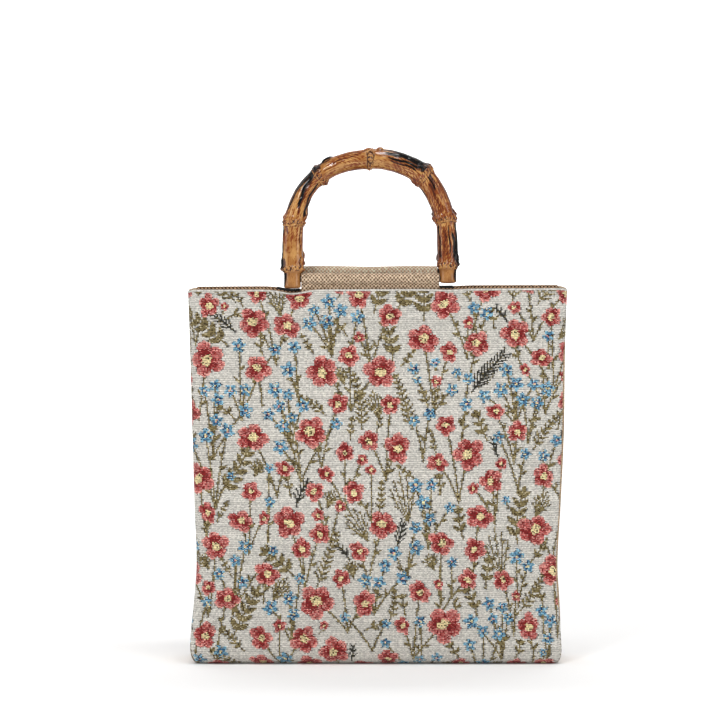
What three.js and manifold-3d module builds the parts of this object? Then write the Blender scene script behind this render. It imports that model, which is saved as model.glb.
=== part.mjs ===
// A tote bag of woven tapestry with linen sides and two D-shaped bamboo handles.
// Millimetres, +Z up, the front of the bag faces -Y. The origin is on the floor, under the middle of the bag.
import * as THREE from 'three';
import { mergeVertices } from 'three/addons/utils/BufferGeometryUtils.js';
import Module from 'manifold-3d';

const wasm = await Module();
wasm.setup();

// Driving sizes of the cloth body
const bodyWidth = 327.5; // across the top edge
const bodyHeight = 324; // floor to the top edge of the tapestry
const baseDepth = 88; // front corner to back corner at the floor
const tapestryThickness = 2;
const linenThickness = 2;
const facingThickness = 1.2;
const seamGap = 0.35; // between two pieces of cloth that are sewn together
const cornerRadius = 7; // of the tapestry round each upright corner
const underTurnDepth = 16; // how far the tapestry turns in under the base
const underTurnHeight = 15;
const sideTurn = 6; // how far the sides draw in at the floor
const bulgePower = 2.4; // 2 is a round face, more is flatter in the middle

// Driving sizes of the mouth
const facingDepth = 34;
const facingRim = 1.2; // how far the facing stands above the tapestry
const facingSpan = 0.98; // share of the half width that the facing covers
const edgeTilt = 1.5; // how much lower the top edge is at the left
const dipReach = 13; // of the two dips under the legs of a handle
const patchHeight = 15;
const patchThickness = 0.8;
const patchRise = 0.3; // above the facing's edge

// Driving sizes of the handles
const handleShift = -6.4; // the handles are sewn on left of the middle
const legSpacing = 134; // between the centrelines of a handle's legs
const archHeight = 58.7; // from the top of the straight legs to the top of the arch
const legRise = 44.8; // from the rod to the start of the arch
const leftStub = 8; // of the leg below the rod
const rightStub = 3.5;
const caneRadius = 8.6;
const rodRadius = 3;
const rodHeight = 8; // the front rod's axis above the top edge
const boreClearance = 0.3;
const boreDepth = 9; // into each leg
const restGap = 0.5; // between the two handles where they lean together

// Driving sizes of the tabs
const tabEndGap = 0.5; // between a tab and the legs beside it
const tabInside = 26; // how far a tab reaches down inside the mouth
const tunnelClearance = 0.5;
const tabLayer = 1.3; // one of the two layers of a tab
const tabEase = 0.5; // room for a flat tab in the curved mouth

// The two sides. lift raises the rod, archTrim lowers the arch, and the other trims shorten the tab.
const mounts = [
  { side: -1, word: 'front', lift: 0, archTrim: 0, trimLeft: 0, trimRight: 0 },
  { side: 1, word: 'back', lift: 4.3, archTrim: 5.1, trimLeft: 2.5, trimRight: 4.5 },
];

// Under each leg of a handle: the dip of the top edge, and the dark patch on the facing
const feet = [
  { word: 'left', leg: -1, dip: 3, patchShift: -4, patchWidth: 20 },
  { word: 'right', leg: 1, dip: 0.7, patchShift: -1.5, patchWidth: 13 },
];

// Upright sections of the body. Widths are shares of bodyWidth, the rest are shares of baseDepth.
const sections = [
  { height: 0.0, left: 0.494, right: 0.487, corner: 1.0, bulge: 0.0, fold: 0.0 },
  { height: 0.08, left: 0.492, right: 0.482, corner: 0.98, bulge: 0.07, fold: 0.01 },
  { height: 0.16, left: 0.484, right: 0.479, corner: 0.95, bulge: 0.14, fold: 0.03 },
  { height: 0.27, left: 0.4765, right: 0.4735, corner: 0.91, bulge: 0.185, fold: 0.055 },
  { height: 0.43, left: 0.482, right: 0.482, corner: 0.83, bulge: 0.195, fold: 0.09 },
  { height: 0.62, left: 0.488, right: 0.491, corner: 0.71, bulge: 0.15, fold: 0.125 },
  { height: 0.84, left: 0.4945, right: 0.4945, corner: 0.565, bulge: 0.09, fold: 0.155 },
  { height: 1.0, left: 0.5, right: 0.5, corner: 0.49, bulge: 0.06, fold: 0.17 },
];

// Soft dents. across is a share of the half width, height and reach are shares of bodyHeight,
// depth is a share of baseDepth, and turn is the lean of the dent in degrees.
const frontDents = [
  { across: -0.86, height: 0.12, length: 0.1, width: 0.022, depth: 0.03, turn: 38 },
  { across: 0.84, height: 0.13, length: 0.11, width: 0.024, depth: 0.028, turn: -34 },
  { across: -0.55, height: 0.78, length: 0.1, width: 0.035, depth: 0.014, turn: -12 },
  { across: 0.5, height: 0.79, length: 0.1, width: 0.035, depth: 0.013, turn: 14 },
  { across: 0.93, height: 0.45, length: 0.16, width: 0.03, depth: 0.016, turn: 4 },
];
const backDents = [
  { across: -0.84, height: 0.14, length: 0.12, width: 0.024, depth: 0.03, turn: 36 },
  { across: 0.86, height: 0.11, length: 0.1, width: 0.022, depth: 0.028, turn: -40 },
  { across: 0.45, height: 0.62, length: 0.16, width: 0.05, depth: 0.018, turn: 8 },
];

// The cane of a handle, from the end of the left leg to the end of the right one.
// radius is a share of caneRadius.
const caneGirths = [
  { along: 0.0, radius: 0.79 },
  { along: 0.042, radius: 0.8 },
  { along: 0.058, radius: 0.96 },
  { along: 0.1, radius: 1.02 },
  { along: 0.16, radius: 1.02 },
  { along: 0.22, radius: 0.95 },
  { along: 0.255, radius: 0.92 },
  { along: 0.31, radius: 0.85 },
  { along: 0.38, radius: 0.92 },
  { along: 0.46, radius: 0.96 },
  { along: 0.52, radius: 0.98 },
  { along: 0.56, radius: 1.04 },
  { along: 0.61, radius: 1.07 },
  { along: 0.66, radius: 1.08 },
  { along: 0.73, radius: 1.03 },
  { along: 0.84, radius: 0.99 },
  { along: 0.89, radius: 1.03 },
  { along: 0.935, radius: 0.99 },
  { along: 0.97, radius: 0.79 },
  { along: 1.0, radius: 0.77 },
];
// Its nodes: swell is a share of caneRadius, reach a share of the cane's length.
const caneNodes = [
  { along: 0.056, swell: 0.14, reach: 0.009 },
  { along: 0.192, swell: 0.2, reach: 0.012 },
  { along: 0.35, swell: 0.22, reach: 0.012 },
  { along: 0.506, swell: 0.15, reach: 0.011 },
  { along: 0.665, swell: 0.2, reach: 0.013 },
  { along: 0.813, swell: 0.2, reach: 0.012 },
  { along: 0.948, swell: 0.17, reach: 0.01 },
];

// Where the cane strays from its D: out is a share of caneRadius, towards its outer side.
const caneBends = [
  { along: 0, out: 0 },
  { along: 0.1, out: 0 },
  { along: 0.15, out: -0.03 },
  { along: 0.19, out: -0.14 },
  { along: 0.225, out: -0.24 },
  { along: 0.255, out: -0.24 },
  { along: 0.29, out: -0.15 },
  { along: 0.34, out: -0.05 },
  { along: 0.375, out: 0.03 },
  { along: 0.43, out: 0.03 },
  { along: 0.49, out: 0 },
  { along: 0.55, out: 0.10 },
  { along: 0.61, out: 0.12 },
  { along: 0.66, out: 0.14 },
  { along: 0.69, out: -0.02 },
  { along: 0.73, out: -0.22 },
  { along: 0.77, out: -0.34 },
  { along: 0.8, out: -0.33 },
  { along: 0.83, out: -0.21 },
  { along: 0.87, out: -0.07 },
  { along: 0.92, out: -0.03 },
  { along: 0.955, out: 0 },
  { along: 1, out: 0 },
];

const halfLegSpacing = legSpacing / 2;
const topEdge = sections[sections.length - 1];
const tabThickness = 2 * tabLayer;
const halfMouth = baseDepth * (topEdge.corner / 2 + topEdge.bulge);
const rodY = halfMouth - tapestryThickness - seamGap - tabEase - tabThickness / 2;

// A smooth curve through one column of a table
function columnCurve(table, key, column) {
  const at = table.map((row) => row[key]);
  const value = table.map((row) => row[column]);
  const last = at.length - 1;
  const slope = at.map((_, i) => {
    const before = Math.max(i - 1, 0);
    const after = Math.min(i + 1, last);
    return (value[after] - value[before]) / (at[after] - at[before]);
  });
  return (x) => {
    let i = 0;
    while (i < last - 1 && x > at[i + 1]) i += 1;
    const span = at[i + 1] - at[i];
    const t = THREE.MathUtils.clamp((x - at[i]) / span, 0, 1);
    const square = t * t;
    const cube = square * t;
    return (
      (2 * cube - 3 * square + 1) * value[i] +
      (cube - 2 * square + t) * span * slope[i] +
      (3 * square - 2 * cube) * value[i + 1] +
      (cube - square) * span * slope[i + 1]
    );
  };
}

const leftShare = columnCurve(sections, 'height', 'left');
const rightShare = columnCurve(sections, 'height', 'right');
const cornerShare = columnCurve(sections, 'height', 'corner');
const bulgeShare = columnCurve(sections, 'height', 'bulge');
const foldShare = columnCurve(sections, 'height', 'fold');

// The body's sizes at one height
function sectionAt(z) {
  const share = z / bodyHeight;
  return {
    left: leftShare(share) * bodyWidth,
    right: rightShare(share) * bodyWidth,
    corner: (cornerShare(share) * baseDepth) / 2,
    bulge: bulgeShare(share) * baseDepth,
    fold: foldShare(share) * baseDepth,
  };
}

// How far the top edge is lowered, at one place across the bag
function edgeDip(x, z) {
  const nearTop = Math.pow(THREE.MathUtils.clamp(z / bodyHeight, 0, 1), 12);
  let total = edgeTilt * (0.5 - x / bodyWidth);
  for (const foot of feet) {
    const away = x - handleShift - foot.leg * halfLegSpacing;
    total += foot.dip * Math.exp(-Math.pow(away / dipReach, 2));
  }
  return total * nearTop;
}

// The depth of all dents at one place on a face
function dentDepth(dents, across, z) {
  let total = 0;
  for (const dent of dents) {
    const turn = THREE.MathUtils.degToRad(dent.turn);
    const dx = (across - dent.across) * (bodyWidth / 2);
    const dz = z - dent.height * bodyHeight;
    const along = (dx * Math.sin(turn) + dz * Math.cos(turn)) / (dent.length * bodyHeight);
    const over = (dx * Math.cos(turn) - dz * Math.sin(turn)) / (dent.width * bodyHeight);
    total += dent.depth * baseDepth * Math.exp(-along * along - over * over);
  }
  return total;
}

// A level of the body. t runs from 0 at the top edge to 1 where the cloth starts to turn under,
// and to 2 where it lies flat on the floor.
function levelAt(t) {
  if (t <= 1) return { z: bodyHeight - t * (bodyHeight - underTurnHeight), under: 0 };
  const angle = ((t - 1) * Math.PI) / 2;
  return { z: underTurnHeight * (1 - Math.sin(angle)), under: 1 - Math.cos(angle) };
}

// A point of the tapestry's outer face, at the front. s runs from -1 to 1 over the face,
// and one further round each upright corner.
function facePoint(dents, s, t) {
  const level = levelAt(t);
  const size = sectionAt(level.z);
  const across = THREE.MathUtils.clamp(s, -1, 1);
  const turned = Math.max(Math.abs(s) - 1, 0);
  const draw = sideTurn * level.under;
  const flatHalf = (s < 0 ? size.left : size.right) - draw - cornerRadius;
  const angle = (turned * Math.PI) / 2;
  const x = across * flatHalf + Math.sign(s) * cornerRadius * Math.sin(angle);
  const share = Math.abs(x) / (flatHalf + cornerRadius);
  const bulge = size.bulge * (1 - Math.pow(share, bulgePower));
  const dent = dentDepth(dents, across, level.z) * (1 - turned) * (1 - level.under);
  const out = size.corner + bulge - dent;
  const y = -out + cornerRadius * (1 - Math.cos(angle)) + underTurnDepth * level.under;
  return new THREE.Vector3(x, y, level.z - edgeDip(x, level.z));
}

// A point of a linen side, from the front face's edge at s = -1 to the back one's at s = 1
function gussetPoint(side, s, t) {
  const level = levelAt(t);
  const size = sectionAt(level.z);
  const edge = (side < 0 ? size.left : size.right) - sideTurn * level.under;
  const reach = size.corner - cornerRadius - underTurnDepth * level.under - seamGap;
  const foldIn = (size.fold * (1 + Math.cos(s * Math.PI))) / 2;
  const x = side * (edge - foldIn);
  return new THREE.Vector3(x, s * reach, level.z - edgeDip(side * edge, level.z));
}

// A point of a surface, moved out along its normal. The surface is a function of s and t: s runs
// from left to right as seen from outside, and t from top to bottom.
function liftedPoint(surface, s, t, distance) {
  const small = 0.004;
  const down = surface(s, t + small).sub(surface(s, t - small));
  const right = surface(s + small, t).sub(surface(s - small, t));
  const normal = down.cross(right).normalize();
  return surface(s, t).addScaledVector(normal, distance);
}

// Even steps from one number to another
function steps(from, to, count) {
  return Array.from({ length: count + 1 }, (_, i) => from + ((to - from) * i) / count);
}

// A grid of points on a surface. Its rows run from top to bottom.
function gridOn(surface, across, down, distance) {
  return down.map((t) => across.map((s) => liftedPoint(surface, s, t, distance)));
}

// A wall of cloth between a grid on its outer face and one on its inner face
function clothWall(outer, inner) {
  const rowCount = outer.length;
  const columnCount = outer[0].length;
  const points = [...outer.flat(), ...inner.flat()];
  const out = (i, j) => i * columnCount + j;
  const into = (i, j) => rowCount * columnCount + out(i, j);
  const index = [];
  const quad = (a, b, c, d) => index.push(a, b, c, a, c, d);
  for (let i = 0; i < rowCount - 1; i += 1) {
    for (let j = 0; j < columnCount - 1; j += 1) {
      quad(out(i, j), out(i + 1, j), out(i + 1, j + 1), out(i, j + 1));
      quad(into(i, j), into(i, j + 1), into(i + 1, j + 1), into(i + 1, j));
    }
  }
  const lastRow = rowCount - 1;
  const lastColumn = columnCount - 1;
  for (let j = 0; j < lastColumn; j += 1) {
    quad(out(0, j), out(0, j + 1), into(0, j + 1), into(0, j));
    quad(out(lastRow, j + 1), out(lastRow, j), into(lastRow, j), into(lastRow, j + 1));
  }
  for (let i = 0; i < lastRow; i += 1) {
    quad(out(i, 0), into(i, 0), into(i + 1, 0), out(i + 1, 0));
    quad(out(i, lastColumn), out(i + 1, lastColumn), into(i + 1, lastColumn), into(i, lastColumn));
  }
  const geometry = new THREE.BufferGeometry();
  geometry.setFromPoints(points);
  geometry.setIndex(index);
  return geometry;
}

// A geometry as a manifold solid, and back
function toSolid(geometry) {
  const bare = new THREE.BufferGeometry();
  bare.setAttribute('position', geometry.getAttribute('position'));
  bare.setIndex(geometry.getIndex());
  const merged = mergeVertices(bare, 1e-4);
  return new wasm.Manifold(
    new wasm.Mesh({
      numProp: 3,
      vertProperties: merged.getAttribute('position').array,
      triVerts: new Uint32Array(merged.getIndex().array),
    }),
  );
}

function toGeometry(solid) {
  const mesh = solid.getMesh();
  const geometry = new THREE.BufferGeometry();
  geometry.setAttribute('position', new THREE.BufferAttribute(mesh.vertProperties, 3));
  geometry.setIndex(new THREE.BufferAttribute(mesh.triVerts, 1));
  return geometry;
}

const materials = {
  tapestry: new THREE.MeshStandardMaterial({ color: 0xc9c2b6, roughness: 0.92, metalness: 0 }),
  linen: new THREE.MeshStandardMaterial({ color: 0xc0a888, roughness: 0.9, metalness: 0 }),
  bamboo: new THREE.MeshStandardMaterial({ color: 0xb07a3f, roughness: 0.3, metalness: 0 }),
  rod: new THREE.MeshStandardMaterial({ color: 0x2a211c, roughness: 0.45, metalness: 0 }),
  patch: new THREE.MeshStandardMaterial({ color: 0x17140f, roughness: 0.8, metalness: 0 }),
};

function piece(name, geometry, material) {
  const mesh = new THREE.Mesh(geometry, material);
  mesh.name = name;
  return mesh;
}

// The tapestry faces. The columns run round both upright corners, and the rows under the base.
const acrossFace = [...steps(-2, -1, 3), ...steps(-1, 1, 20).slice(1), ...steps(1, 2, 3).slice(1)];
const downFace = [...steps(0, 1, 16), ...steps(1, 2, 5).slice(1)];

// A front grid moved to the back: only the depth changes sides
function toBack(rows) {
  return rows.map((row) =>
    row.map((point) => new THREE.Vector3(point.x, -point.y, point.z)).reverse(),
  );
}

// A wall of cloth on the front or back face, between two distances from its outer surface
function faceWall(side, surface, across, down, outer, inner) {
  const grids = [gridOn(surface, across, down, outer), gridOn(surface, across, down, inner)];
  const placed = side < 0 ? grids : grids.map(toBack);
  return clothWall(placed[0], placed[1]);
}

const dentsOf = (side) => (side < 0 ? frontDents : backDents);

function tapestryFace(side) {
  const surface = (s, t) => facePoint(dentsOf(side), s, t);
  return faceWall(side, surface, acrossFace, downFace, 0, -tapestryThickness);
}

function gusset(side) {
  // Seen from outside, the left side has its back edge at the left, and the right side its front edge
  const surface = (s, t) => gussetPoint(side, side * s, t);
  const across = steps(-1, 1, 8);
  return clothWall(
    gridOn(surface, across, downFace, 0),
    gridOn(surface, across, downFace, -linenThickness),
  );
}

// The flat bottom, inside the turned edges of the faces and sides
function basePanel() {
  const floor = sectionAt(0);
  const left = floor.left - sideTurn - seamGap;
  const right = floor.right - sideTurn - seamGap;
  const half = floor.corner - underTurnDepth - seamGap;
  const round = cornerRadius;
  const shape = new THREE.Shape();
  shape.moveTo(-left + round, -half);
  shape.lineTo(right - round, -half);
  shape.absarc(right - round, -half + round, round, -Math.PI / 2, 0, false);
  shape.lineTo(right, half - round);
  shape.absarc(right - round, half - round, round, 0, Math.PI / 2, false);
  shape.lineTo(-left + round, half);
  shape.absarc(-left + round, half - round, round, Math.PI / 2, Math.PI, false);
  shape.lineTo(-left, -half + round);
  shape.absarc(-left + round, -half + round, round, Math.PI, 1.5 * Math.PI, false);
  return new THREE.ExtrudeGeometry(shape, {
    depth: tapestryThickness,
    bevelEnabled: false,
    curveSegments: 4,
  });
}

// The cane's centreline, in the handle's own frame: the rod's axis is X, and the arch rises along Z
function caneLine(trim) {
  const line = new THREE.CurvePath();
  const rise = archHeight - trim;
  const arch = new THREE.EllipseCurve(0, legRise, halfLegSpacing, rise, Math.PI, 0, true, 0);
  const leg = (x, from, to) => new THREE.LineCurve(new THREE.Vector2(x, from), new THREE.Vector2(x, to));
  line.add(leg(-halfLegSpacing, -leftStub, legRise));
  line.add(arch);
  line.add(leg(halfLegSpacing, legRise, -rightStub));
  return line;
}

const girth = columnCurve(caneGirths, 'along', 'radius');
const bend = columnCurve(caneBends, 'along', 'out');

function caneRadiusAt(along) {
  let share = girth(along);
  for (const node of caneNodes) {
    share += node.swell * Math.exp(-Math.pow((along - node.along) / node.reach, 2));
  }
  return share * caneRadius;
}

// The tab fills the space between tapestry and facing, and beside it the two lie together.
// It ends beside the legs, where they are thickest next to it.
const tunnelRadius = rodRadius + tunnelClearance;
const tabTop = (leftStub + tunnelRadius + tabLayer) / caneLine(0).getLength();
const legRadius = Math.max(...steps(0, tabTop, 12).map(caneRadiusAt));
const tabHalfWidth = halfLegSpacing - legRadius - tabEndGap;
const tabSpread = 12; // of the facing, from beside the tab to behind it

const uprightDrop = bodyHeight - underTurnHeight;

// The outer surface of the front facing. It hangs straight down along the tapestry's top edge.
function facingPoint(dents, s, t) {
  const onEdge = facePoint(dents, s, 0);
  const beside = Math.abs(onEdge.x - handleShift) - tabHalfWidth;
  const behind = 1 - THREE.MathUtils.smoothstep(beside, 0, tabSpread);
  const room = tabThickness + tabEase + seamGap;
  const inward = tapestryThickness + seamGap + behind * room;
  const hung = liftedPoint((a, b) => facePoint(dents, a, b), s, 0, -inward);
  hung.z = onEdge.z + facingRim - t * uprightDrop;
  return hung;
}

// The linen band inside the mouth
function facing(side) {
  const surface = (s, t) => facingPoint(dentsOf(side), s, t);
  const across = steps(-facingSpan, facingSpan, 40);
  const down = steps(0, facingDepth / uprightDrop, 3);
  return faceWall(side, surface, across, down, 0, -facingThickness);
}

// A dark patch on the inner side of a facing, under one leg of a handle
function patch(side, foot) {
  const raise = new THREE.Vector3(0, 0, patchRise);
  const surface = (s, t) => facingPoint(dentsOf(side), s, t).add(raise);
  const centre = handleShift + foot.leg * halfLegSpacing + foot.patchShift;
  const flatHalf = bodyWidth / 2 - cornerRadius;
  const from = (centre - foot.patchWidth / 2) / flatHalf;
  const to = (centre + foot.patchWidth / 2) / flatHalf;
  const outer = -(facingThickness + 1.4 * seamGap);
  const down = steps(0, patchHeight / uprightDrop, 2);
  return faceWall(side, surface, steps(from, to, 6), down, outer, outer - patchThickness);
}

// The tab: its two layers go down inside the mouth together, and open round the rod as a tunnel
function tab(mount) {
  const outerRadius = tunnelRadius + tabLayer;
  const half = tabThickness / 2;
  const neck = Math.acos(half / outerRadius);
  const shape = new THREE.Shape();
  const bottom = -(rodHeight + mount.lift + tabInside);
  shape.moveTo(-half, bottom);
  shape.lineTo(half, bottom);
  shape.lineTo(half, -outerRadius * Math.sin(neck));
  shape.absarc(0, 0, outerRadius, -neck, Math.PI + neck, false);
  const tunnel = new THREE.Path();
  tunnel.absarc(0, 0, tunnelRadius, 0, 2 * Math.PI, true);
  shape.holes.push(tunnel);
  const geometry = new THREE.ExtrudeGeometry(shape, {
    depth: 2 * tabHalfWidth - mount.trimLeft - mount.trimRight,
    bevelEnabled: false,
    curveSegments: 10,
  });
  // The section lies in YZ, and its length along X
  const toPlace = new THREE.Matrix4().makeBasis(
    new THREE.Vector3(0, 1, 0),
    new THREE.Vector3(0, 0, 1),
    new THREE.Vector3(1, 0, 0),
  );
  const start = handleShift - tabHalfWidth + mount.trimLeft;
  toPlace.setPosition(start, mount.side * rodY, bodyHeight + rodHeight + mount.lift);
  return geometry.applyMatrix4(toPlace);
}

// The cane's ends are rounded off
const lipAlong = 0.004;
const lipShare = 0.86;

// Places along the cane, close together at the nodes
function caneStations() {
  const stations = [];
  const evenSteps = 34;
  for (let i = 1; i < evenSteps; i += 1) stations.push(i / evenSteps);
  for (const node of caneNodes) {
    for (const step of [-1.6, -0.8, 0, 0.8, 1.6]) stations.push(node.along + step * node.reach);
  }
  stations.sort((a, b) => a - b);
  const closest = 0.006;
  const inner = stations.filter((at, i) => i === 0 || at - stations[i - 1] > closest);
  return [0, lipAlong, ...inner, 1 - lipAlong, 1];
}

const caneSides = 12;

function cane(trim) {
  const line = caneLine(trim);
  const stations = caneStations();
  const points = [];
  for (const along of stations) {
    const centre = line.getPointAt(along);
    const tangent = line.getTangentAt(along);
    const atEnd = along === 0 || along === 1;
    const radius = caneRadiusAt(along) * (atEnd ? lipShare : 1);
    for (let k = 0; k < caneSides; k += 1) {
      const angle = (2 * Math.PI * k) / caneSides;
      const out = bend(along) * caneRadius + radius * Math.cos(angle);
      points.push(
        new THREE.Vector3(
          centre.x - tangent.y * out,
          radius * Math.sin(angle),
          centre.y + tangent.x * out,
        ),
      );
    }
  }
  const index = [];
  const at = (i, k) => i * caneSides + (k % caneSides);
  const last = stations.length - 1;
  for (let i = 0; i < last; i += 1) {
    for (let k = 0; k < caneSides; k += 1) {
      index.push(at(i, k), at(i + 1, k), at(i + 1, k + 1), at(i, k), at(i + 1, k + 1), at(i, k + 1));
    }
  }
  for (let k = 1; k < caneSides - 1; k += 1) {
    index.push(at(0, 0), at(0, k), at(0, k + 1));
    index.push(at(last, 0), at(last, k + 1), at(last, k));
  }
  const geometry = new THREE.BufferGeometry();
  geometry.setFromPoints(points);
  geometry.setIndex(index);
  return geometry;
}

const boreEnd = halfLegSpacing - caneRadius * caneGirths[0].radius + boreDepth;

// A round bar along X
function barAlongX(radius, length) {
  return new THREE.CylinderGeometry(radius, radius, length, 16).rotateZ(Math.PI / 2);
}

function handleGeometry(mount) {
  const bore = barAlongX(rodRadius + boreClearance, 2 * (boreEnd + boreClearance));
  return toGeometry(toSolid(cane(mount.archTrim)).subtract(toSolid(bore)));
}

// The handles lean together until the arches all but touch
const archTopRadius = Math.max(...steps(0.48, 0.53, 20).map(caneRadiusAt));

function leanOf(mount) {
  const reach = legRise + archHeight - mount.archTrim;
  return Math.asin((rodY - archTopRadius - restGap / 2) / reach);
}

function handleWithRod(mount) {
  const swing = new THREE.Group();
  swing.position.set(handleShift, mount.side * rodY, bodyHeight + rodHeight + mount.lift);
  swing.rotation.x = mount.side * leanOf(mount);
  swing.add(piece(`handle_${mount.word}`, handleGeometry(mount), materials.bamboo));
  swing.add(piece(`rod_${mount.word}`, barAlongX(rodRadius, 2 * boreEnd), materials.rod));
  return swing;
}

const bag = new THREE.Group();
bag.add(piece('gusset_left', gusset(-1), materials.linen));
bag.add(piece('gusset_right', gusset(1), materials.linen));
bag.add(piece('base_panel', basePanel(), materials.tapestry));
for (const mount of mounts) {
  bag.add(piece(`panel_${mount.word}`, tapestryFace(mount.side), materials.tapestry));
  bag.add(piece(`facing_${mount.word}`, facing(mount.side), materials.linen));
  bag.add(piece(`tab_${mount.word}`, tab(mount), materials.linen));
  for (const foot of feet) {
    bag.add(piece(`patch_${mount.word}_${foot.word}`, patch(mount.side, foot), materials.patch));
  }
  bag.add(handleWithRod(mount));
}

export default bag;
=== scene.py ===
import math

import bmesh
import bpy
import numpy as np
from mathutils import Matrix, Vector


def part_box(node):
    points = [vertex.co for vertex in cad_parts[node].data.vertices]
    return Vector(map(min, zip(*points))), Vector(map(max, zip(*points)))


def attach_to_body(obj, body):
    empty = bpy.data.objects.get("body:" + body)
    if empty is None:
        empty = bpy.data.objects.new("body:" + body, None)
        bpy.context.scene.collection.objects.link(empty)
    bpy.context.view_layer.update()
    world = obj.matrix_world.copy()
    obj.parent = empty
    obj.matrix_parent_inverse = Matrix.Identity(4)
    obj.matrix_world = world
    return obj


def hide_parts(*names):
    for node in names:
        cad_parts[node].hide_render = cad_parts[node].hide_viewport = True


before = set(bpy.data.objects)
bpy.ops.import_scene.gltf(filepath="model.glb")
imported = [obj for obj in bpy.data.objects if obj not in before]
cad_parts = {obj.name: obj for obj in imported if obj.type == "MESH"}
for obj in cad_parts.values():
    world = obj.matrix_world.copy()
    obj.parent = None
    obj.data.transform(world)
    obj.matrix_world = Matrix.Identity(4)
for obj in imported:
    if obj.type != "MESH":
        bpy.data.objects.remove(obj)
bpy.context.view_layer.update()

# The studio: a pale sheet of paper that runs up behind the bag, a tall box of light from the front
# that the lacquer of the canes reflects, one light from above and one softer on each side.
paper_half, paper_front, paper_run = 8, -6, 11
paper_bend, paper_climb = 1.2, 3
floor_mesh = bmesh.new()
bmesh.ops.create_grid(floor_mesh, x_segments=1, y_segments=24, size=1)
for vert in floor_mesh.verts:
    # Half of the sheet lies flat, three tenths of it bend up and the rest climbs
    share = (vert.co.y + 1) / 2
    turn = min(max((share - 0.5) / 0.3, 0), 1) * math.pi / 2
    y = min(share / 0.5, 1) * paper_run + paper_front + math.sin(turn) * paper_bend
    z = paper_bend - math.cos(turn) * paper_bend + max(share - 0.8, 0) / 0.2 * paper_climb
    vert.co = Vector((vert.co.x * paper_half, y, z))
paper = bpy.data.objects.new("studio_paper", bpy.data.meshes.new("studio_paper"))
floor_mesh.to_mesh(paper.data)
floor_mesh.free()
paper.data.shade_smooth()
bpy.context.collection.objects.link(paper)
paper_finish = bpy.data.materials.new("studio_paper")
paper_finish.use_nodes = True
paper_shader = paper_finish.node_tree.nodes["Principled BSDF"]
paper_shader.inputs["Base Color"].default_value = (0.96, 0.96, 0.957, 1)
paper_shader.inputs["Roughness"].default_value = 0.9
paper.data.materials.append(paper_finish)

world = bpy.data.worlds.new("studio")
world.use_nodes = True
world.node_tree.nodes["Background"].inputs["Color"].default_value = (1, 1, 1, 1)
world.node_tree.nodes["Background"].inputs["Strength"].default_value = 0.35
bpy.context.scene.world = world
bpy.context.scene.view_settings.view_transform = "Standard"

# name: place, width, height, power in watts
lamps = {
    "key_light": ((-0.9, -2.6, 2.2), 0.5, 0.6, 30),
    "top_light": ((0.3, -1.0, 3.0), 0.9, 0.6, 26),
    "right_light": ((2.3, -1.2, 1.3), 1.2, 1.6, 16),
    "left_light": ((-2.3, -0.6, 1.1), 1.2, 1.6, 11),
    "floor_light": ((0, 1.7, 3.0), 3.0, 1.4, 75),
    "paper_light": ((0, 3.9, 2.4), 4.5, 1.0, 120),
}
for name, (place, width, height, power) in lamps.items():
    lamp = bpy.data.lights.new(name, "AREA")
    lamp.shape = "RECTANGLE"
    lamp.size = width
    lamp.size_y = height
    lamp.energy = power
    lamp_object = bpy.data.objects.new(name, lamp)
    lamp_object.location = place
    aim = Vector((0, 0, 0.2)) - Vector(place)
    if name in ("floor_light", "paper_light"):
        aim = Vector((0, place[1] + 1.9, 0.4)) - Vector(place)
    lamp_object.rotation_euler = aim.to_track_quat("-Z", "Y").to_euler()
    bpy.context.collection.objects.link(lamp_object)

# The photograph was taken with a long lens, straight from the front and a little above the mouth.
camera_distance = 4.5
camera_rise = math.radians(3.2)
metres_across = 0.619
aim_point = Vector((-0.0152, -0.035, 0.2625))
camera = bpy.data.cameras.new("camera")
camera.sensor_width = 36
camera.lens = camera.sensor_width * camera_distance / metres_across
camera.clip_end = 50
camera_object = bpy.data.objects.new("camera", camera)
away = Vector((0, -math.cos(camera_rise), math.sin(camera_rise)))
camera_object.location = aim_point + away * camera_distance
camera_object.rotation_euler = (-away).to_track_quat("-Z", "Y").to_euler()
bpy.context.collection.objects.link(camera_object)
bpy.context.scene.camera = camera_object

# The tapestry faces: a jacquard cloth of wild flowers on a pale ground, woven in stitches about a
# millimetre square. Each face turns round the upright corners and in under the base, with a hem
# that is topstitched along the mouth.
body_width = 0.3275
body_height = 0.324
base_depth = 0.088
corner_radius = 0.007
under_depth = 0.016
under_height = 0.015
side_turn = 0.006
edge_tilt = 0.0015
dip_reach = 0.013
handle_shift = -0.0064
half_legs = 0.067
corner_dip, corner_dip_reach = 0.0013, 0.0032
bulge_power = 2.4
# The outline at shares of the height: half widths, and half depth, bulge and fold as shares of the depth
section_table = {
    "height": [0.0, 0.08, 0.16, 0.27, 0.43, 0.62, 0.84, 1.0],
    "left": [0.494, 0.492, 0.484, 0.4765, 0.482, 0.488, 0.4945, 0.5],
    "right": [0.487, 0.482, 0.479, 0.4735, 0.482, 0.491, 0.4945, 0.5],
    "corner": [1.0, 0.98, 0.95, 0.91, 0.83, 0.71, 0.565, 0.49],
    "bulge": [0.0, 0.07, 0.14, 0.185, 0.195, 0.15, 0.09, 0.06],
    "fold": [0.0, 0.01, 0.03, 0.055, 0.09, 0.125, 0.155, 0.17],
}
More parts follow.
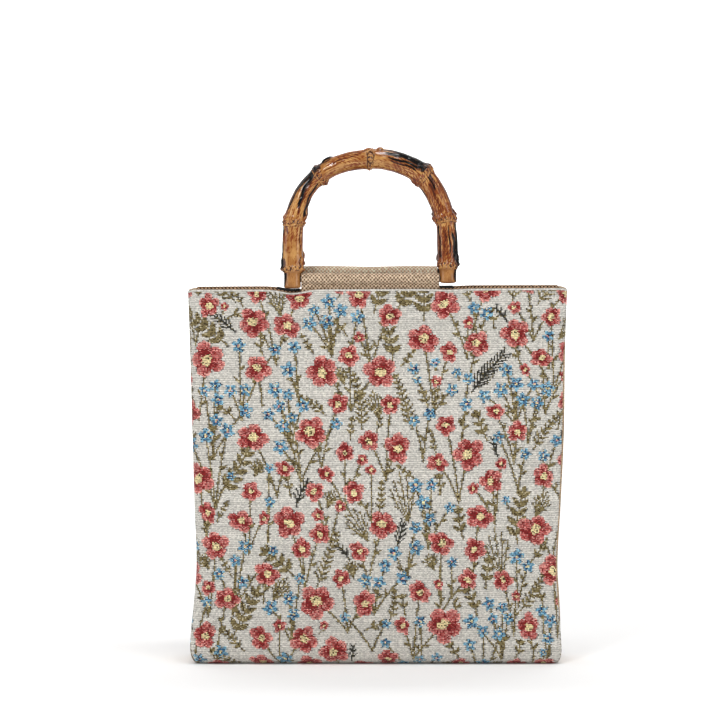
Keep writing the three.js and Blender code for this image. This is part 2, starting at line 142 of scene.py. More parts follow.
# across, height, length, width, depth, turn in degrees
front_dents = [
    (-0.86, 0.12, 0.1, 0.022, 0.03, 38),
    (0.84, 0.13, 0.11, 0.024, 0.028, -34),
    (-0.55, 0.78, 0.1, 0.035, 0.014, -12),
    (0.5, 0.79, 0.1, 0.035, 0.013, 14),
    (0.93, 0.45, 0.16, 0.03, 0.016, 4),
]
back_dents = [
    (-0.84, 0.14, 0.12, 0.024, 0.03, 36),
    (0.86, 0.11, 0.1, 0.022, 0.028, -40),
    (0.45, 0.62, 0.16, 0.05, 0.018, 8),
]
# The side of a leg of the front handle, and how far the mouth dips under it
feet = [(-1, 0.003), (1, 0.0007)]


def smooth_curve(at, values, x):
    """A smooth curve through the values of a table's column."""
    at = np.asarray(at, float)
    values = np.asarray(values, float)
    slope = np.empty_like(values)
    slope[1:-1] = (values[2:] - values[:-2]) / (at[2:] - at[:-2])
    slope[0] = (values[1] - values[0]) / (at[1] - at[0])
    slope[-1] = (values[-1] - values[-2]) / (at[-1] - at[-2])
    i = np.clip(np.searchsorted(at, x, side="right") - 1, 0, len(at) - 2)
    span = at[i + 1] - at[i]
    t = np.clip((x - at[i]) / span, 0, 1)
    start = (2 * t**3 - 3 * t**2 + 1) * values[i] + (t**3 - 2 * t**2 + t) * span * slope[i]
    return start + (3 * t**2 - 2 * t**3) * values[i + 1] + (t**3 - t**2) * span * slope[i + 1]


def hill(x):
    """A rounded hill of height 1, with its foot about 2 off on each side."""
    return np.exp(-(x**2))


def section(name, z):
    """A column of the outline's table at a height in metres."""
    return smooth_curve(section_table["height"], section_table[name], z / body_height)


def edge_dip(x, z):
    """How much lower the cloth is for the slope, dips and corners of the mouth."""
    total = edge_tilt * (0.5 - x / body_width)
    for leg, dip in feet:
        total = total + dip * hill((x - handle_shift - leg * half_legs) / dip_reach)
    total = total + corner_dip * hill(np.maximum(body_width / 2 - np.abs(x), 0) / corner_dip_reach)
    return total * np.clip(z / body_height, 0, 1) ** 12


def level(t):
    """The height at t down a face, and how far the cloth has turned under there, from 0 to 1."""
    angle = np.clip(t - 1, 0, 2) * math.pi / 2
    z = np.where(t <= 1, body_height - t * (body_height - under_height), under_height * (1 - np.sin(angle)))
    return z, 1 - np.cos(angle)


def face_point(dents, s, t):
    """A point of the front face: s from -1 to 1 across and one more round each corner, t from 0 at
    the mouth to 1 where the cloth starts to turn under, and 2 under the base."""
    z, under = level(t)
    across = np.clip(s, -1, 1)
    turned = np.maximum(np.abs(s) - 1, 0)
    half = np.where(s < 0, section("left", z), section("right", z)) * body_width
    flat_half = half - side_turn * under - corner_radius
    angle = turned * math.pi / 2
    x = across * flat_half + np.sign(s) * corner_radius * np.sin(angle)
    crown = 1 - (np.abs(x) / (flat_half + corner_radius)) ** bulge_power
    bulge = section("bulge", z) * base_depth * crown
    dent = np.zeros_like(z)
    for d_across, d_height, d_length, d_width, d_depth, d_turn in dents:
        lean = math.radians(d_turn)
        dx = (across - d_across) * body_width / 2
        dz = z - d_height * body_height
        along = (dx * math.sin(lean) + dz * math.cos(lean)) / (d_length * body_height)
        over = (dx * math.cos(lean) - dz * math.sin(lean)) / (d_width * body_height)
        dent = dent + d_depth * base_depth * np.exp(-(along**2) - over**2)
    dent = dent * (1 - turned) * (1 - under)
    y = -(section("corner", z) * base_depth / 2 + bulge - dent)
    y = y + corner_radius * (1 - np.cos(angle)) + under_depth * under
    return np.stack([x, y, z - edge_dip(x, z)], axis=-1)


def lifted(surface, s, t, distance):
    """Points of a surface, moved out along its normal."""
    small = 0.004
    down = surface(s, t + small) - surface(s, t - small)
    right = surface(s + small, t) - surface(s - small, t)
    normal = np.cross(down, right)
    normal = normal / np.linalg.norm(normal, axis=-1, keepdims=True)
    return surface(s, t) + normal * np.asarray(distance)[..., None]


flat_reach = body_width / 2 - corner_radius
corner_reach = corner_radius * math.pi / 2
cloth_half = flat_reach + corner_reach
upright_drop = body_height - under_height
under_reach = 0.0243
cloth_drop = upright_drop + under_reach


def across_of(u):
    """The place across a face of a point of the cloth, u metres from its middle."""
    beyond = (np.abs(u) - flat_reach) / corner_reach
    return np.where(beyond < 0, u / flat_reach, np.sign(u) * (1 + np.maximum(beyond, 0)))


def down_of(v):
    """The place down a face of a point of the cloth, v metres below the mouth."""
    return np.where(v < upright_drop, v / upright_drop, 1 + (v - upright_drop) / under_reach)


class Weave:
    """A jacquard pattern, painted stitch by stitch. Lengths are in millimetres of cloth."""

    def __init__(self, half, drop, columns, rows, seed):
        self.x = (np.arange(columns) + 0.5) * (2 * half / columns) - half
        self.y = (np.arange(rows) + 0.5) * (drop / rows)
        self.yarn = np.zeros((rows, columns), int)
        self.random = np.random.default_rng(seed)
        self.grain = self.random.random((rows, columns))

    def window(self, x, y, reach):
        """The stitches within reach of a point, and how far each is from it."""
        columns = slice(*np.searchsorted(self.x, (x - reach, x + reach)))
        rows = slice(*np.searchsorted(self.y, (y - reach, y + reach)))
        grid_x, grid_y = np.meshgrid(self.x[columns] - x, self.y[rows] - y)
        return (rows, columns), grid_x, grid_y

    def lay(self, place, mask, yarn, over=False):
        """Weaves a yarn where the mask is, on bare ground alone unless it goes over what is there."""
        part = self.yarn[place]
        if not over:
            mask = mask & (part == 0)
        part[mask] = yarn[mask] if isinstance(yarn, np.ndarray) else yarn

    def line(self, x0, y0, x1, y1, width, yarn):
        reach = math.hypot(x1 - x0, y1 - y0) / 2 + width + 1
        place, gx, gy = self.window((x0 + x1) / 2, (y0 + y1) / 2, reach)
        ax, ay = (x1 - x0) / 2, (y1 - y0) / 2
        length = ax * ax + ay * ay + 1e-9
        t = np.clip((gx * ax + gy * ay) / length, -1, 1)
        away = np.hypot(gx - t * ax, gy - t * ay)
        self.lay(place, away < width / 2, yarn)

    def leaf(self, x, y, turn, length, width, yarn):
        tip_x, tip_y = x + length * math.sin(turn), y - length * math.cos(turn)
        place, gx, gy = self.window((x + tip_x) / 2, (y + tip_y) / 2, length / 2 + 2)
        along = (gx * math.sin(turn) - gy * math.cos(turn)) / (length / 2)
        over = gx * math.cos(turn) + gy * math.sin(turn)
        shape = width / 2 * np.clip(1 - along**2, 0, 1) ** 0.7 * (1.05 - 0.25 * along)
        self.lay(place, (np.abs(along) < 1) & (np.abs(over) < shape), yarn)

    def stem(self, x, y, turn, length, bend, width, yarn, count):
        """A curved stem from its root up. Returns its points and the way it grows at each."""
        points = [(x, y, turn)]
        for _ in range(count):
            turn += bend / count
            nx = points[-1][0] + math.sin(turn) * length / count
            ny = points[-1][1] - math.cos(turn) * length / count
            self.line(points[-1][0], points[-1][1], nx, ny, width, yarn)
            points.append((nx, ny, turn))
        return points

    def red_flower(self, x, y, radius, turn, squash=1.0):
        place, gx, gy = self.window(x, y, radius * 1.3)
        along = gx * math.cos(turn) + gy * math.sin(turn)
        over = (-gx * math.sin(turn) + gy * math.cos(turn)) / squash
        away = np.hypot(along, over) / radius
        angle = np.arctan2(over, along)
        grain = self.grain[place]
        wave = np.abs(np.cos(2.5 * angle + turn * 3))
        rim = 0.7 + 0.32 * wave**0.7 + 0.07 * np.sin(3 * angle + radius * 7) + 0.07 * (grain - 0.5)
        yarn = np.where(grain > 0.6, red, rose)
        yarn = np.where((away > rim - 0.18) & (grain > 0.5), pink, yarn)
        shade = 0.42 + 0.26 * np.sin(angle * 2 + radius * 5) + 0.5 * (grain - 0.5)
        yarn = np.where(away < shade + 0.14, red, yarn)
        yarn = np.where((away < shade) & (away < 0.66), wine, yarn)
        gap = np.where((wave < 0.26) & (away > 0.4) & (grain > 0.3), wine, yarn)
        heart = np.hypot(along - 0.06 * radius, over * 0.75 + 0.05 * radius) / radius
        yarn = np.where((heart < 0.36) & (heart > 0.22) & (grain > 0.5), wine, gap)
        yarn = np.where(heart < 0.25 + 0.12 * (grain - 0.4), cream, yarn)
        self.lay(place, away < rim, yarn, over=True)

    def blue_flower(self, x, y, radius, turn):
        place, gx, gy = self.window(x, y, radius * 1.3)
        away = np.hypot(gx, gy) / radius
        angle = np.arctan2(gy, gx) + turn
        wave = np.abs(np.cos(2.5 * angle))
        grain = self.grain[place]
        rim = 0.42 + 0.62 * wave + 0.12 * (grain - 0.5)
        yarn = np.where(grain > 0.5, blue, sky)
        yarn = np.where((away < 0.7) & (grain > 0.7), denim, yarn)
        yarn = np.where((away < 0.6) & (grain < 0.24), navy, yarn)
        yarn = np.where(away < 0.2 + 0.12 * (grain - 0.5), np.where(grain > 0.8, pink, cream), yarn)
        self.lay(place, away < rim, yarn, over=True)


rose, red, wine, pink, cream, sky, blue, denim, navy, olive, brown, black, straw = range(1, 14)
# The ground's colour, and then those of the yarns in the order of their names
yarns = [
    (0.840, 0.826, 0.795),
    (0.770, 0.440, 0.420),
    (0.665, 0.290, 0.275),
    (0.500, 0.120, 0.122),
    (0.890, 0.620, 0.580),
    (0.920, 0.840, 0.640),
    (0.560, 0.735, 0.815),
    (0.425, 0.630, 0.735),
    (0.290, 0.475, 0.610),
    (0.130, 0.230, 0.360),
    (0.500, 0.445, 0.295),
    (0.265, 0.215, 0.120),
    (0.190, 0.185, 0.155),
    (0.740, 0.690, 0.550),
]


def wild_flowers(weave, width, height):
    """Covers a cloth with plants: red and blue flowers on branching stems, ferns and leaves."""
    random = weave.random
    # A flower: across, down, radius, whether it is red, and the share of a turn
    flowers = []

    def apart(f, g):
        return math.hypot(f[0] - g[0], f[1] - g[1])

    def scatter(count, low, high, is_red, spare):
        for _ in range(count):
            for _ in range(90):
                radius = random.uniform(low, high)
                x = random.uniform(-width / 2 - 4, width / 2 + 4)
                y = random.uniform(-4, height + 4)
                if all(apart((x, y), f) > spare * (radius + f[2]) for f in flowers):
                    flowers.append((x, y, radius, is_red, random.random()))
                    break

    # How many, the smallest and the largest radius, red or blue, and how far apart
    scatter(14, 13.0, 16.0, True, 1.5)
    scatter(32, 10.5, 13.0, True, 1.08)
    for _ in range(22):
        # Blue flowers stand in clusters
        x, y = random.uniform(-width / 2, width / 2), random.uniform(0, height)
        for _ in range(34):
            radius = random.uniform(5.0, 7.0)
            px, py = x + random.normal(0, 11), y + random.normal(0, 9)
            if all(apart((px, py), f) > 1.02 * (radius + f[2]) for f in flowers):
                flowers.append((px, py, radius, False, random.random()))
    scatter(40, 8.0, 10.5, True, 1.05)
    scatter(18, 4.6, 6.6, True, 1.05)
    scatter(20, 4.0, 5.4, False, 1.0)

    # Neighbours of one colour grow from one root
    waiting = sorted(flowers, key=lambda f: f[1])
    while waiting:
        first = waiting.pop(0)
        most = 3 if first[3] else 5
        near = [f for f in waiting if f[3] == first[3] and apart(f, first) < 40]
        near.sort(key=lambda f: apart(f, first))
        group = [first] + near[: most - 1]
        for f in group[1:]:
            waiting.remove(f)
        root_x = np.mean([f[0] for f in group]) + random.uniform(-9, 9)
        root_y = max(f[1] for f in group) + random.uniform(24, 36)
        for f in group:
            mid_x, mid_y = root_x + (f[0] - root_x) * 0.3, f[1] + (root_y - f[1]) * 0.5
            points = []
            for k in range(13):
                t = k / 12
                px = (1 - t) ** 2 * root_x + 2 * t * (1 - t) * mid_x + t * t * f[0]
                py = (1 - t) ** 2 * root_y + 2 * t * (1 - t) * mid_y + t * t * f[1]
                points.append((px, py))
            for a, b in zip(points, points[1:]):
                weave.line(*a, *b, 1.6, olive)
            if random.random() > 0.35:
                side = random.choice((-1, 1))
                k = int(random.integers(3, 7))
                way = math.atan2(points[k + 1][0] - points[k][0], points[k][1] - points[k + 1][1])
                for step, size in ((0, 7.5), (2, 6)):
                    weave.leaf(*points[min(k + step, 12)], way + side * 0.8, size, 2.4, olive)
                    side = -side
    for f in sorted(flowers, key=lambda f: f[2]):
        if f[3]:
            weave.red_flower(f[0], f[1], f[2], f[4] * 6, 1.0 if f[4] > 0.3 else 0.78)
        else:
            weave.blue_flower(f[0], f[1], f[2], f[4] * 6)

    def bare(x, y, turn, length, wide):
        """The share of a plant's place that is still bare ground."""
        spot, gx, gy = weave.window(x, y - length / 2 * math.cos(turn), length)
        gx = gx - length / 2 * math.sin(turn)
        along = gx * math.sin(turn) - gy * math.cos(turn)
        over = gx * math.cos(turn) + gy * math.sin(turn)
        inside = (np.abs(along) < length / 2) & (np.abs(over) < wide / 2)
        return (weave.yarn[spot][inside] == 0).mean() if inside.any() else 0

    def leaf_pairs(spine, longest, shrink, slim=0):
        """Leaves on both sides of a stem, smaller towards its tip, and slim or as wide as suits them."""
        for k, (x, y, turn) in enumerate(spine[1:]):
            size = longest * (1 - shrink * k / (len(spine) - 1))
            for side in (-1, 1):
                weave.leaf(x, y, turn + side * 0.8, size, slim or 0.42 * size, olive)

    # Leafy branches, ferns and grasses fill what the flowers leave bare, the largest first
    kinds = ["branch", "fern", "grass", "fern", "branch", "dark", "fern", "branch", "grass"]
    grown = 0
    for length, wide, need in ((46, 20, 0.86), (36, 17, 0.9), (25, 13, 0.93), (16, 9, 0.96)):
        for _ in range(2600):
            x = random.uniform(-width / 2, width / 2)
            y = random.uniform(8, height + 20)
            lean = random.uniform(-0.9, 0.9)
            if bare(x, y, lean, length, wide) < need:
                continue
            kind = kinds[grown % len(kinds)]
            grown += 1
            bend = random.uniform(-0.6, 0.6)
            if kind == "branch":
                spine = weave.stem(x, y, lean, length * 0.88, bend, 1.5, olive, int(length / 8))
                leaf_pairs(spine, 0.5 * wide + 2, 0.25)
                weave.leaf(*spine[-1], 0.55 * wide, 4, olive)
            elif kind == "fern":
                spine = weave.stem(x, y, lean, length, bend, 1.3, olive, int(length / 5))
                leaf_pairs(spine, 0.42 * wide + 1, 0.55, 2.1)
                weave.leaf(*spine[-1], 5, 2.1, olive)
            elif kind == "grass":
                for fan in (-0.5, -0.25, 0.0, 0.22, 0.48):
                    reach = length * (0.95 - 0.5 * abs(fan))
                    blade = weave.stem(x, y, lean + fan, reach, -fan * 0.6, 1.25, olive, 7)
                    side = 1 if fan > 0 else -1
                    for k in (3, 5):
                        weave.stem(*blade[k][:2], blade[k][2] + side * 0.6, 5, 0, 1.1, olive, 2)
            else:
                count = int(length / 4.4)
                spine = weave.stem(x, y, lean, length * 0.9, bend, 1.5, black, count)
                for k, (bx, by, turn) in enumerate(spine[1:]):
                    for side in (-1, 1):
                        size = wide * 0.62 * (1 - 0.5 * k / count)
                        weave.stem(bx, by, turn + side * 0.6, size, 0, 1.3, black, 2)
    for _ in range(1600):
        x = random.uniform(-width / 2, width / 2)
        y = random.uniform(0, height)
        turn = random.uniform(-0.9, 0.9)
        if bare(x, y + 5, turn, 14, 10) < 0.98:
            continue
        choice = random.random()
        weave.stem(x, y + 5, turn, 8, 0.3, 1.4, olive, 3)
        if choice < 0.3:
            weave.red_flower(x + 6 * math.sin(turn), y - 2, random.uniform(3.4, 4.8), turn)
        elif choice < 0.75:
            weave.blue_flower(x + 6 * math.sin(turn), y - 2, random.uniform(3.8, 5.0), turn)
        else:
            for side in (-0.7, 0.7):
                weave.leaf(x, y + 3, turn + side, 6.5, 2.6, olive)
            weave.leaf(x, y - 1, turn, 6, 2.4, olive)


def stitch_colours(weave):
    """The colour of each stitch, in rows from the mouth down. Yarns vary a little along the weft."""
    shape = weave.yarn.shape
    yarn = weave.yarn.copy()
    fleck = weave.random.random(shape)
    for first, low, high, second in (
        (olive, 0, 0.2, brown), (olive, 0.9, 1, straw), (black, 0, 0.12, olive), (rose, 0, 0.14, pink),
        (rose, 0.88, 1, wine), (red, 0, 0.16, wine), (red, 0.9, 1, pink), (wine, 0, 0.12, red),
        (sky, 0, 0.1, navy), (blue, 0, 0.12, navy), (sky, 0.9, 1, cream), (cream, 0, 0.14, brown),
    ):
        yarn[(weave.yarn == first) & (fleck >= low) & (fleck < high)] = second
    colours = np.array(yarns)[yarn]
    # The ground beside a figure lies lower, in its shade
    figure = weave.yarn > 0
    beside = np.zeros(shape)
    beside[1:] += figure[:-1]
    beside[:, 1:] += figure[:, :-1]
    beside[:, :-1] += figure[:, 1:]
    colours[(beside > 0) & ~figure & (fleck > 0.7)] *= 0.6
    wander = 1 + 0.22 * (weave.random.random(shape) - 0.55)
    wander = np.where(figure, 1 + 0.34 * (weave.random.random(shape) - 0.55), wander)
    wander = wander * (1 + 0.09 * (weave.random.random((shape[0], 1)) - 0.5))
    return np.clip(colours * wander[..., None], 0, 1)


class Maths:
    """A socket of a material's node tree that takes part in Python sums."""

    def __init__(self, tree, socket):
        self.tree = tree
        self.socket = socket

    def feed(self, slot, value):
        if isinstance(value, Maths):
            self.tree.links.new(value.socket, slot)
        else:
            slot.default_value = value

    def node(self, kind, settings=None, **values):
        made = self.tree.nodes.new(kind)
        for key, value in (settings or {}).items():
            setattr(made, key, value)
        for key, value in values.items():
            slot = int(key[1:]) if key[0] == "i" and key[1:].isdigit() else key
            self.feed(made.inputs[slot], value)
        return made

    def out(self, kind, settings=None, output=0, **values):
        """One output of a new node."""
        return Maths(self.tree, self.node(kind, settings, **values).outputs[output])

    def call(self, operation, other=0.0, swapped=False):
        first, second = (other, self) if swapped else (self, other)
        return self.out("ShaderNodeMath", {"operation": operation}, i0=first, i1=second)

    def __add__(self, other):
        return self.call("ADD", other)

    def __sub__(self, other):
        return self.call("SUBTRACT", other)

    def __rsub__(self, other):
        return self.call("SUBTRACT", other, True)

    def __mul__(self, other):
        return self.call("MULTIPLY", other)

    def ramp(self, low, high):
        """0 below low, 1 above high, and smooth between."""
        smooth = {"interpolation_type": "SMOOTHSTEP"}
        return self.out("ShaderNodeMapRange", smooth, Value=self, i1=low, i2=high)

    def mix(self, first, second, blend="MIX"):
        """A colour between two, with this as the share of the second."""
        made = self.node("ShaderNodeMix", {"data_type": "RGBA", "blend_type": blend}, i0=self)
        for slot, value in ((6, first), (7, second)):
            self.feed(made.inputs[slot], value if isinstance(value, Maths) else (*value, 1))
        return Maths(self.tree, made.outputs[2])


def finish_start(name):
    """A new material, its shader and a wrapped start for sums."""
    made = bpy.data.materials.new(name)
    made.use_nodes = True
    return made, made.node_tree.nodes["Principled BSDF"], Maths(made.node_tree, None)


def cloth_coordinates(start):
    """The cloth's own coordinates in metres, from its UV map."""
    uv = start.out("ShaderNodeUVMap", {"uv_map": "cloth"})
    split = start.node("ShaderNodeSeparateXYZ", Vector=uv)
    return Maths(start.tree, split.outputs[0]), Maths(start.tree, split.outputs[1]), uv


def attach(start, shader, colour, roughness, height, strength, distance):
    """Feeds a finish to its shader, with its relief as a bump of so many metres."""
    bump = start.out("ShaderNodeBump", Strength=strength, Distance=distance, Height=height)
    for name, value in (("Base Color", colour), ("Roughness", roughness), ("Normal", bump)):
        start.feed(shader.inputs[name], value)


def noise(start, vector, scale, detail=2.0):
    return start.out("ShaderNodeTexNoise", Vector=vector, Scale=scale, Detail=detail)


def object_place(start, scale):
    place = start.out("ShaderNodeTexCoord", output="Object")
    return start.out("ShaderNodeMapping", Vector=place, Scale=scale)


stitch_columns = 272
stitch_rows = 352
stitch_width = 2 * cloth_half / stitch_columns
stitch_height = cloth_drop / stitch_rows


def tapestry_finish():
    made, shader, start = finish_start("tapestry")
    u, v, uv = cloth_coordinates(start)
    yarn = start.out("ShaderNodeAttribute", {"attribute_name": "stitch"}, "Color")
    # Two picks lie between one dip and the next, and each stitch in them is a short bead of yarn
    dip = (v * (math.pi / stitch_height / 2)).call("SINE").call("ABSOLUTE")
    cross = (u * (math.pi / stitch_width)).call("SINE").call("ABSOLUTE")
    fuzz = noise(start, uv, 2600)
    bead = dip.ramp(0.0, 0.55) * (cross.ramp(0.0, 0.6) * 0.3 + 0.7)
    # The dips are darkened with painted shade, broken into dashes, as the yarns cross under one another
    row = start.out("ShaderNodeCombineXYZ", X=u * 380, Y=v * (0.5 / stitch_height))
    dashes = noise(start, row, 1.0, 1.0).ramp(0.36, 0.6)
    shade = ((1 - bead) * (dashes * 0.75 + 0.35) + (fuzz - 0.5) * 0.3).call("MAXIMUM")
    colour = shade.mix(yarn, (0.46, 0.435, 0.405), "MULTIPLY")
    relief = bead + fuzz * 0.3
    attach(start, shader, colour, fuzz * 0.1 + 0.82, relief, 0.8, 0.0005)
    shader.inputs["Sheen Weight"].default_value = 0.12
    shader.inputs["Specular IOR Level"].default_value = 0.2
    return made


def linen_finish(name, light, dark, pitch, strength=1.0):
    """Coarse cloth of thick yarns: beads in staggered rows, with brown painted shade in the gaps between.
    """
    made, shader, start = finish_start(name)
    u, v, uv = cloth_coordinates(start)
    turn = 2 * math.pi / pitch
    wobble = (noise(start, uv, 210) - 0.5) * 2.0
    bead = (u * turn + wobble).call("COSINE") * (v * (turn * 0.86) + wobble * 0.7).call("COSINE")
    fuzz = noise(start, uv, 1500)
    slub = noise(start, uv, 330)
    tone = (bead + (slub - 0.5) * 0.7 + (fuzz - 0.5) * 0.3).ramp(-0.6, 0.35)
    pale = slub.ramp(0.3, 0.7).mix(tuple(c * 0.76 for c in light), tuple(min(c * 1.16, 1) for c in light))
    colour = tone.mix(dark, pale)
    attach(start, shader, colour, fuzz * 0.1 + 0.8, tone + fuzz * 0.2, strength, 0.0006)
    shader.inputs["Sheen Weight"].default_value = 0.08
    shader.inputs["Specular IOR Level"].default_value = 0.2
    return made


tapestry = tapestry_finish()
linen_pitch, lining_pitch = 0.00315, 0.0016
linen = linen_finish("linen", (0.74, 0.565, 0.405), (0.175, 0.10, 0.052), linen_pitch)
# A lighter copy of the linen for the back tab: painted light, for the light that falls on it from above
painted_light_linen = linen_finish("linen_painted_light", (1.0, 0.835, 0.645), (0.60, 0.37, 0.23), linen_pitch)
# A darker copy of the linen for the facings: painted shade, for the shade inside the mouth
painted_shade_linen = linen_finish("linen_painted_shade", (0.56, 0.355, 0.21), (0.035, 0.013, 0.005), linen_pitch)
lining = linen_finish("lining", (0.60, 0.47, 0.33), (0.34, 0.24, 0.15), lining_pitch, 0.4)


def grid_on(bm, surface, across, down, columns, rows, distance, flip):
    """A grid of cloth on a surface, with the cloth's own coordinates. Returns its faces."""
    made = bmesh.ops.create_grid(bm, x_segments=columns, y_segments=rows, size=1)["verts"]
    flat = np.array([v.co for v in made])
    u = across[0] + (flat[:, 0] + 1) / 2 * (across[1] - across[0])
    v = down[0] + (1 - flat[:, 1]) / 2 * (down[1] - down[0])
    spots = surface(u, v, distance)
    uv_layer = bm.loops.layers.uv.get("cloth") or bm.loops.layers.uv.new("cloth")
    cloth = {}
    for vert, spot, a, b in zip(made, spots, u, v):
        vert.co = spot
        cloth[vert] = (a, b)
    faces = {face for vert in made for face in vert.link_faces}
    for face in faces:
        for loop in face.loops:
            loop[uv_layer].uv = cloth[loop.vert]
    if flip:
        bmesh.ops.reverse_faces(bm, faces=list(faces))
    return faces


def joined_edges(bm):
    """Closes the gap between two layers along their open edges. Returns the new faces."""
    return bmesh.ops.bridge_loops(bm, edges=[edge for edge in bm.edges if edge.is_boundary])["faces"]


def cloth_wall(surface, across, down, columns, rows, thickness, flip=False):
    """A wall of cloth: two layers a thickness apart, joined along their edges."""
    bm = bmesh.new()
    grid_on(bm, surface, across, down, columns, rows, 0.0, flip)
    grid_on(bm, surface, across, down, columns, rows, -thickness, not flip)
    joined_edges(bm)
    return bm


def piece_from(bm, name, node, slot, body, *finishes):
    """Makes a mesh the piece that stands for a node and rides on a body."""
    mesh = bpy.data.meshes.new(name)
    bm.to_mesh(mesh)
    bm.free()
    for finish in finishes:
        mesh.materials.append(finish)
    mesh.shade_smooth()
    made = bpy.data.objects.new(name, mesh)
    bpy.context.collection.objects.link(made)
    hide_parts(node)
    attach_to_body(made, body)
    return made


tapestry_thickness = 0.002
lining_steps = 40
hem_stitches, hem_stitch_length = 0.0042, 0.0034
# The strip of side linen at the front's right edge, in millimetres down from the mouth and across
strip_middle, strip_half, strip_fade, strip_width = 164, 126, 24, 5.4


def soft_lie(u, v, seed):
    """The cloth never lies quite flat: low waves, and a topstitched hem along the mouth."""
    phase = seed * 1.7
    waves = 0.0005 * np.sin(u * 31 + phase) * np.sin(v * 27 + 0.6 * phase)
    waves = waves + 0.00035 * np.sin(u * 58 - v * 37 + phase)
    calm = np.clip(v / 0.02, 0, 1) * np.clip((upright_drop - v) / 0.02, 0, 1)
    calm = calm * np.clip((cloth_half - np.abs(u)) / 0.02, 0, 1)
    stitch = 0.00045 * hill((v - hem_stitches) / 0.0011)
    stitch = stitch * (0.7 + 0.3 * np.cos(u * 2 * math.pi / hem_stitch_length))
    hem = 0.0002 * hill((v - 0.0018) / 0.0014)
    return waves * calm - stitch + hem


def tapestry_face(name, node, dents, back, seed):
    def surface(u, v, distance):
        lie = soft_lie(u, v, seed) if distance == 0 else 0
        points = lifted(lambda s, t: face_point(dents, s, t), across_of(u), down_of(v), distance + lie)
        if back:
            points[:, 1] *= -1
        return points

    bm = bmesh.new()
    across, down = (-cloth_half, cloth_half), (0, cloth_drop)
    outer = grid_on(bm, surface, across, down, stitch_columns, stitch_rows, 0.0, back)
    grid_on(bm, surface, across, down, lining_steps, lining_steps, -tapestry_thickness, not back)
    for face in bm.faces:
        face.material_index = 0 if face in outer else 1
    for face in joined_edges(bm):
        face.material_index = 1
    made = piece_from(bm, name, node, "tapestry", "bag", tapestry, lining)
    weave = Weave(cloth_half * 1000, cloth_drop * 1000, stitch_columns, stitch_rows, seed)
    wild_flowers(weave, 2 * cloth_half * 1000, cloth_drop * 1000)
    # The first picks, over the turned edge, are plain
    weave.yarn[:2] = 0
    colours = stitch_colours(weave)
    if not back:
        shown = np.clip((strip_half - np.abs(weave.y - strip_middle)) / strip_fade, 0, 1)
        wide = strip_width * shown**0.5
        strip = weave.x[None, :] > cloth_half * 1000 - wide[:, None]
        beads = 0.72 + 0.4 * weave.grain[strip][..., None]
        colours[strip] = np.clip(np.array((0.75, 0.63, 0.49)) * beads, 0, 1)
    paint(made, colours, across, down)


def paint(piece, colours, across, down):
    """Gives each face of the cloth the colour of its stitch."""
    mesh = piece.data
    loops = len(mesh.loops)
    uv = np.empty(loops * 2, np.float32)
    mesh.uv_layers["cloth"].data.foreach_get("uv", uv)
    uv = uv.reshape(-1, 2)
    starts = np.empty(len(mesh.polygons), int)
    totals = np.empty(len(mesh.polygons), int)
    mesh.polygons.foreach_get("loop_start", starts)
    mesh.polygons.foreach_get("loop_total", totals)
    centre = np.add.reduceat(uv, starts, axis=0) / totals[:, None]
    rows, columns = colours.shape[:2]
    i = ((centre[:, 0] - across[0]) / (across[1] - across[0]) * columns).astype(int)
    j = ((centre[:, 1] - down[0]) / (down[1] - down[0]) * rows).astype(int)
    picked = colours[np.clip(j, 0, rows - 1), np.clip(i, 0, columns - 1)]
    attribute = mesh.color_attributes.new("stitch", "BYTE_COLOR", "CORNER")
    rgba = np.ones((loops, 4), np.float32)
    rgba[:, :3] = np.repeat(picked, totals, axis=0)
    attribute.data.foreach_set("color_srgb", rgba.ravel())


tapestry_face("tapestry_front", "panel_front", front_dents, False, 11)
tapestry_face("tapestry_back", "panel_back", back_dents, True, 23)

# The base: the same tapestry over a stiff board, flat on the floor between the turned edges.
seam_gap = 0.00035
left_edge = section_table["left"][0] * body_width - side_turn - seam_gap
right_edge = section_table["right"][0] * body_width - side_turn - seam_gap
base_half = base_depth / 2 - under_depth - seam_gap
base_columns, base_rows = 268, 48
bm = bmesh.new()
corners = bmesh.ops.create_grid(bm, x_segments=base_columns, y_segments=base_rows, size=1)["verts"]
for vert in corners:
    x = (vert.co.x + 1) / 2 * (left_edge + right_edge) - left_edge
    y = vert.co.y * base_half
    # The corners are round: what lies outside them is drawn in to the arc
    inner_x = min(max(x, -left_edge + corner_radius), right_edge - corner_radius)
    inner_y = min(max(y, -base_half + corner_radius), base_half - corner_radius)
    out_x, out_y = x - inner_x, y - inner_y
    if out_x and out_y:
        pull = max(abs(out_x), abs(out_y)) / math.hypot(out_x, out_y)
        out_x, out_y = out_x * pull, out_y * pull
    vert.co = Vector((inner_x + out_x, inner_y + out_y, 0))
uv_layer = bm.loops.layers.uv.new("cloth")
for face in bm.faces:
    for loop in face.loops:
        loop[uv_layer].uv = (loop.vert.co.x, loop.vert.co.y + base_half)
bmesh.ops.reverse_faces(bm, faces=bm.faces[:])
board = bmesh.ops.extrude_face_region(bm, geom=bm.faces[:], use_keep_orig=True)
for vert in [item for item in board["geom"] if isinstance(item, bmesh.types.BMVert)]:
    vert.co.z += tapestry_thickness
lifted_faces = [item for item in board["geom"] if isinstance(item, bmesh.types.BMFace)]
bmesh.ops.reverse_faces(bm, faces=lifted_faces)
inside = set(lifted_faces)
for face in bm.faces:
    face.material_index = 1 if face in inside else 0
bmesh.ops.recalc_face_normals(bm, faces=bm.faces[:])
base = piece_from(bm, "base", "base_panel", "tapestry", "bag", tapestry, lining)
base_weave = Weave(160, 2 * base_half * 1000, base_columns, base_rows, 31)
wild_flowers(base_weave, 320, 2 * base_half * 1000)
paint(base, stitch_colours(base_weave), (-left_edge, right_edge), (0, 2 * base_half))

# The linen sides: one width of coarse natural linen on each side, sewn between the two faces and
# folded in towards the mouth. It goes on round under the base.
linen_thickness = 0.002
side_half = 0.037


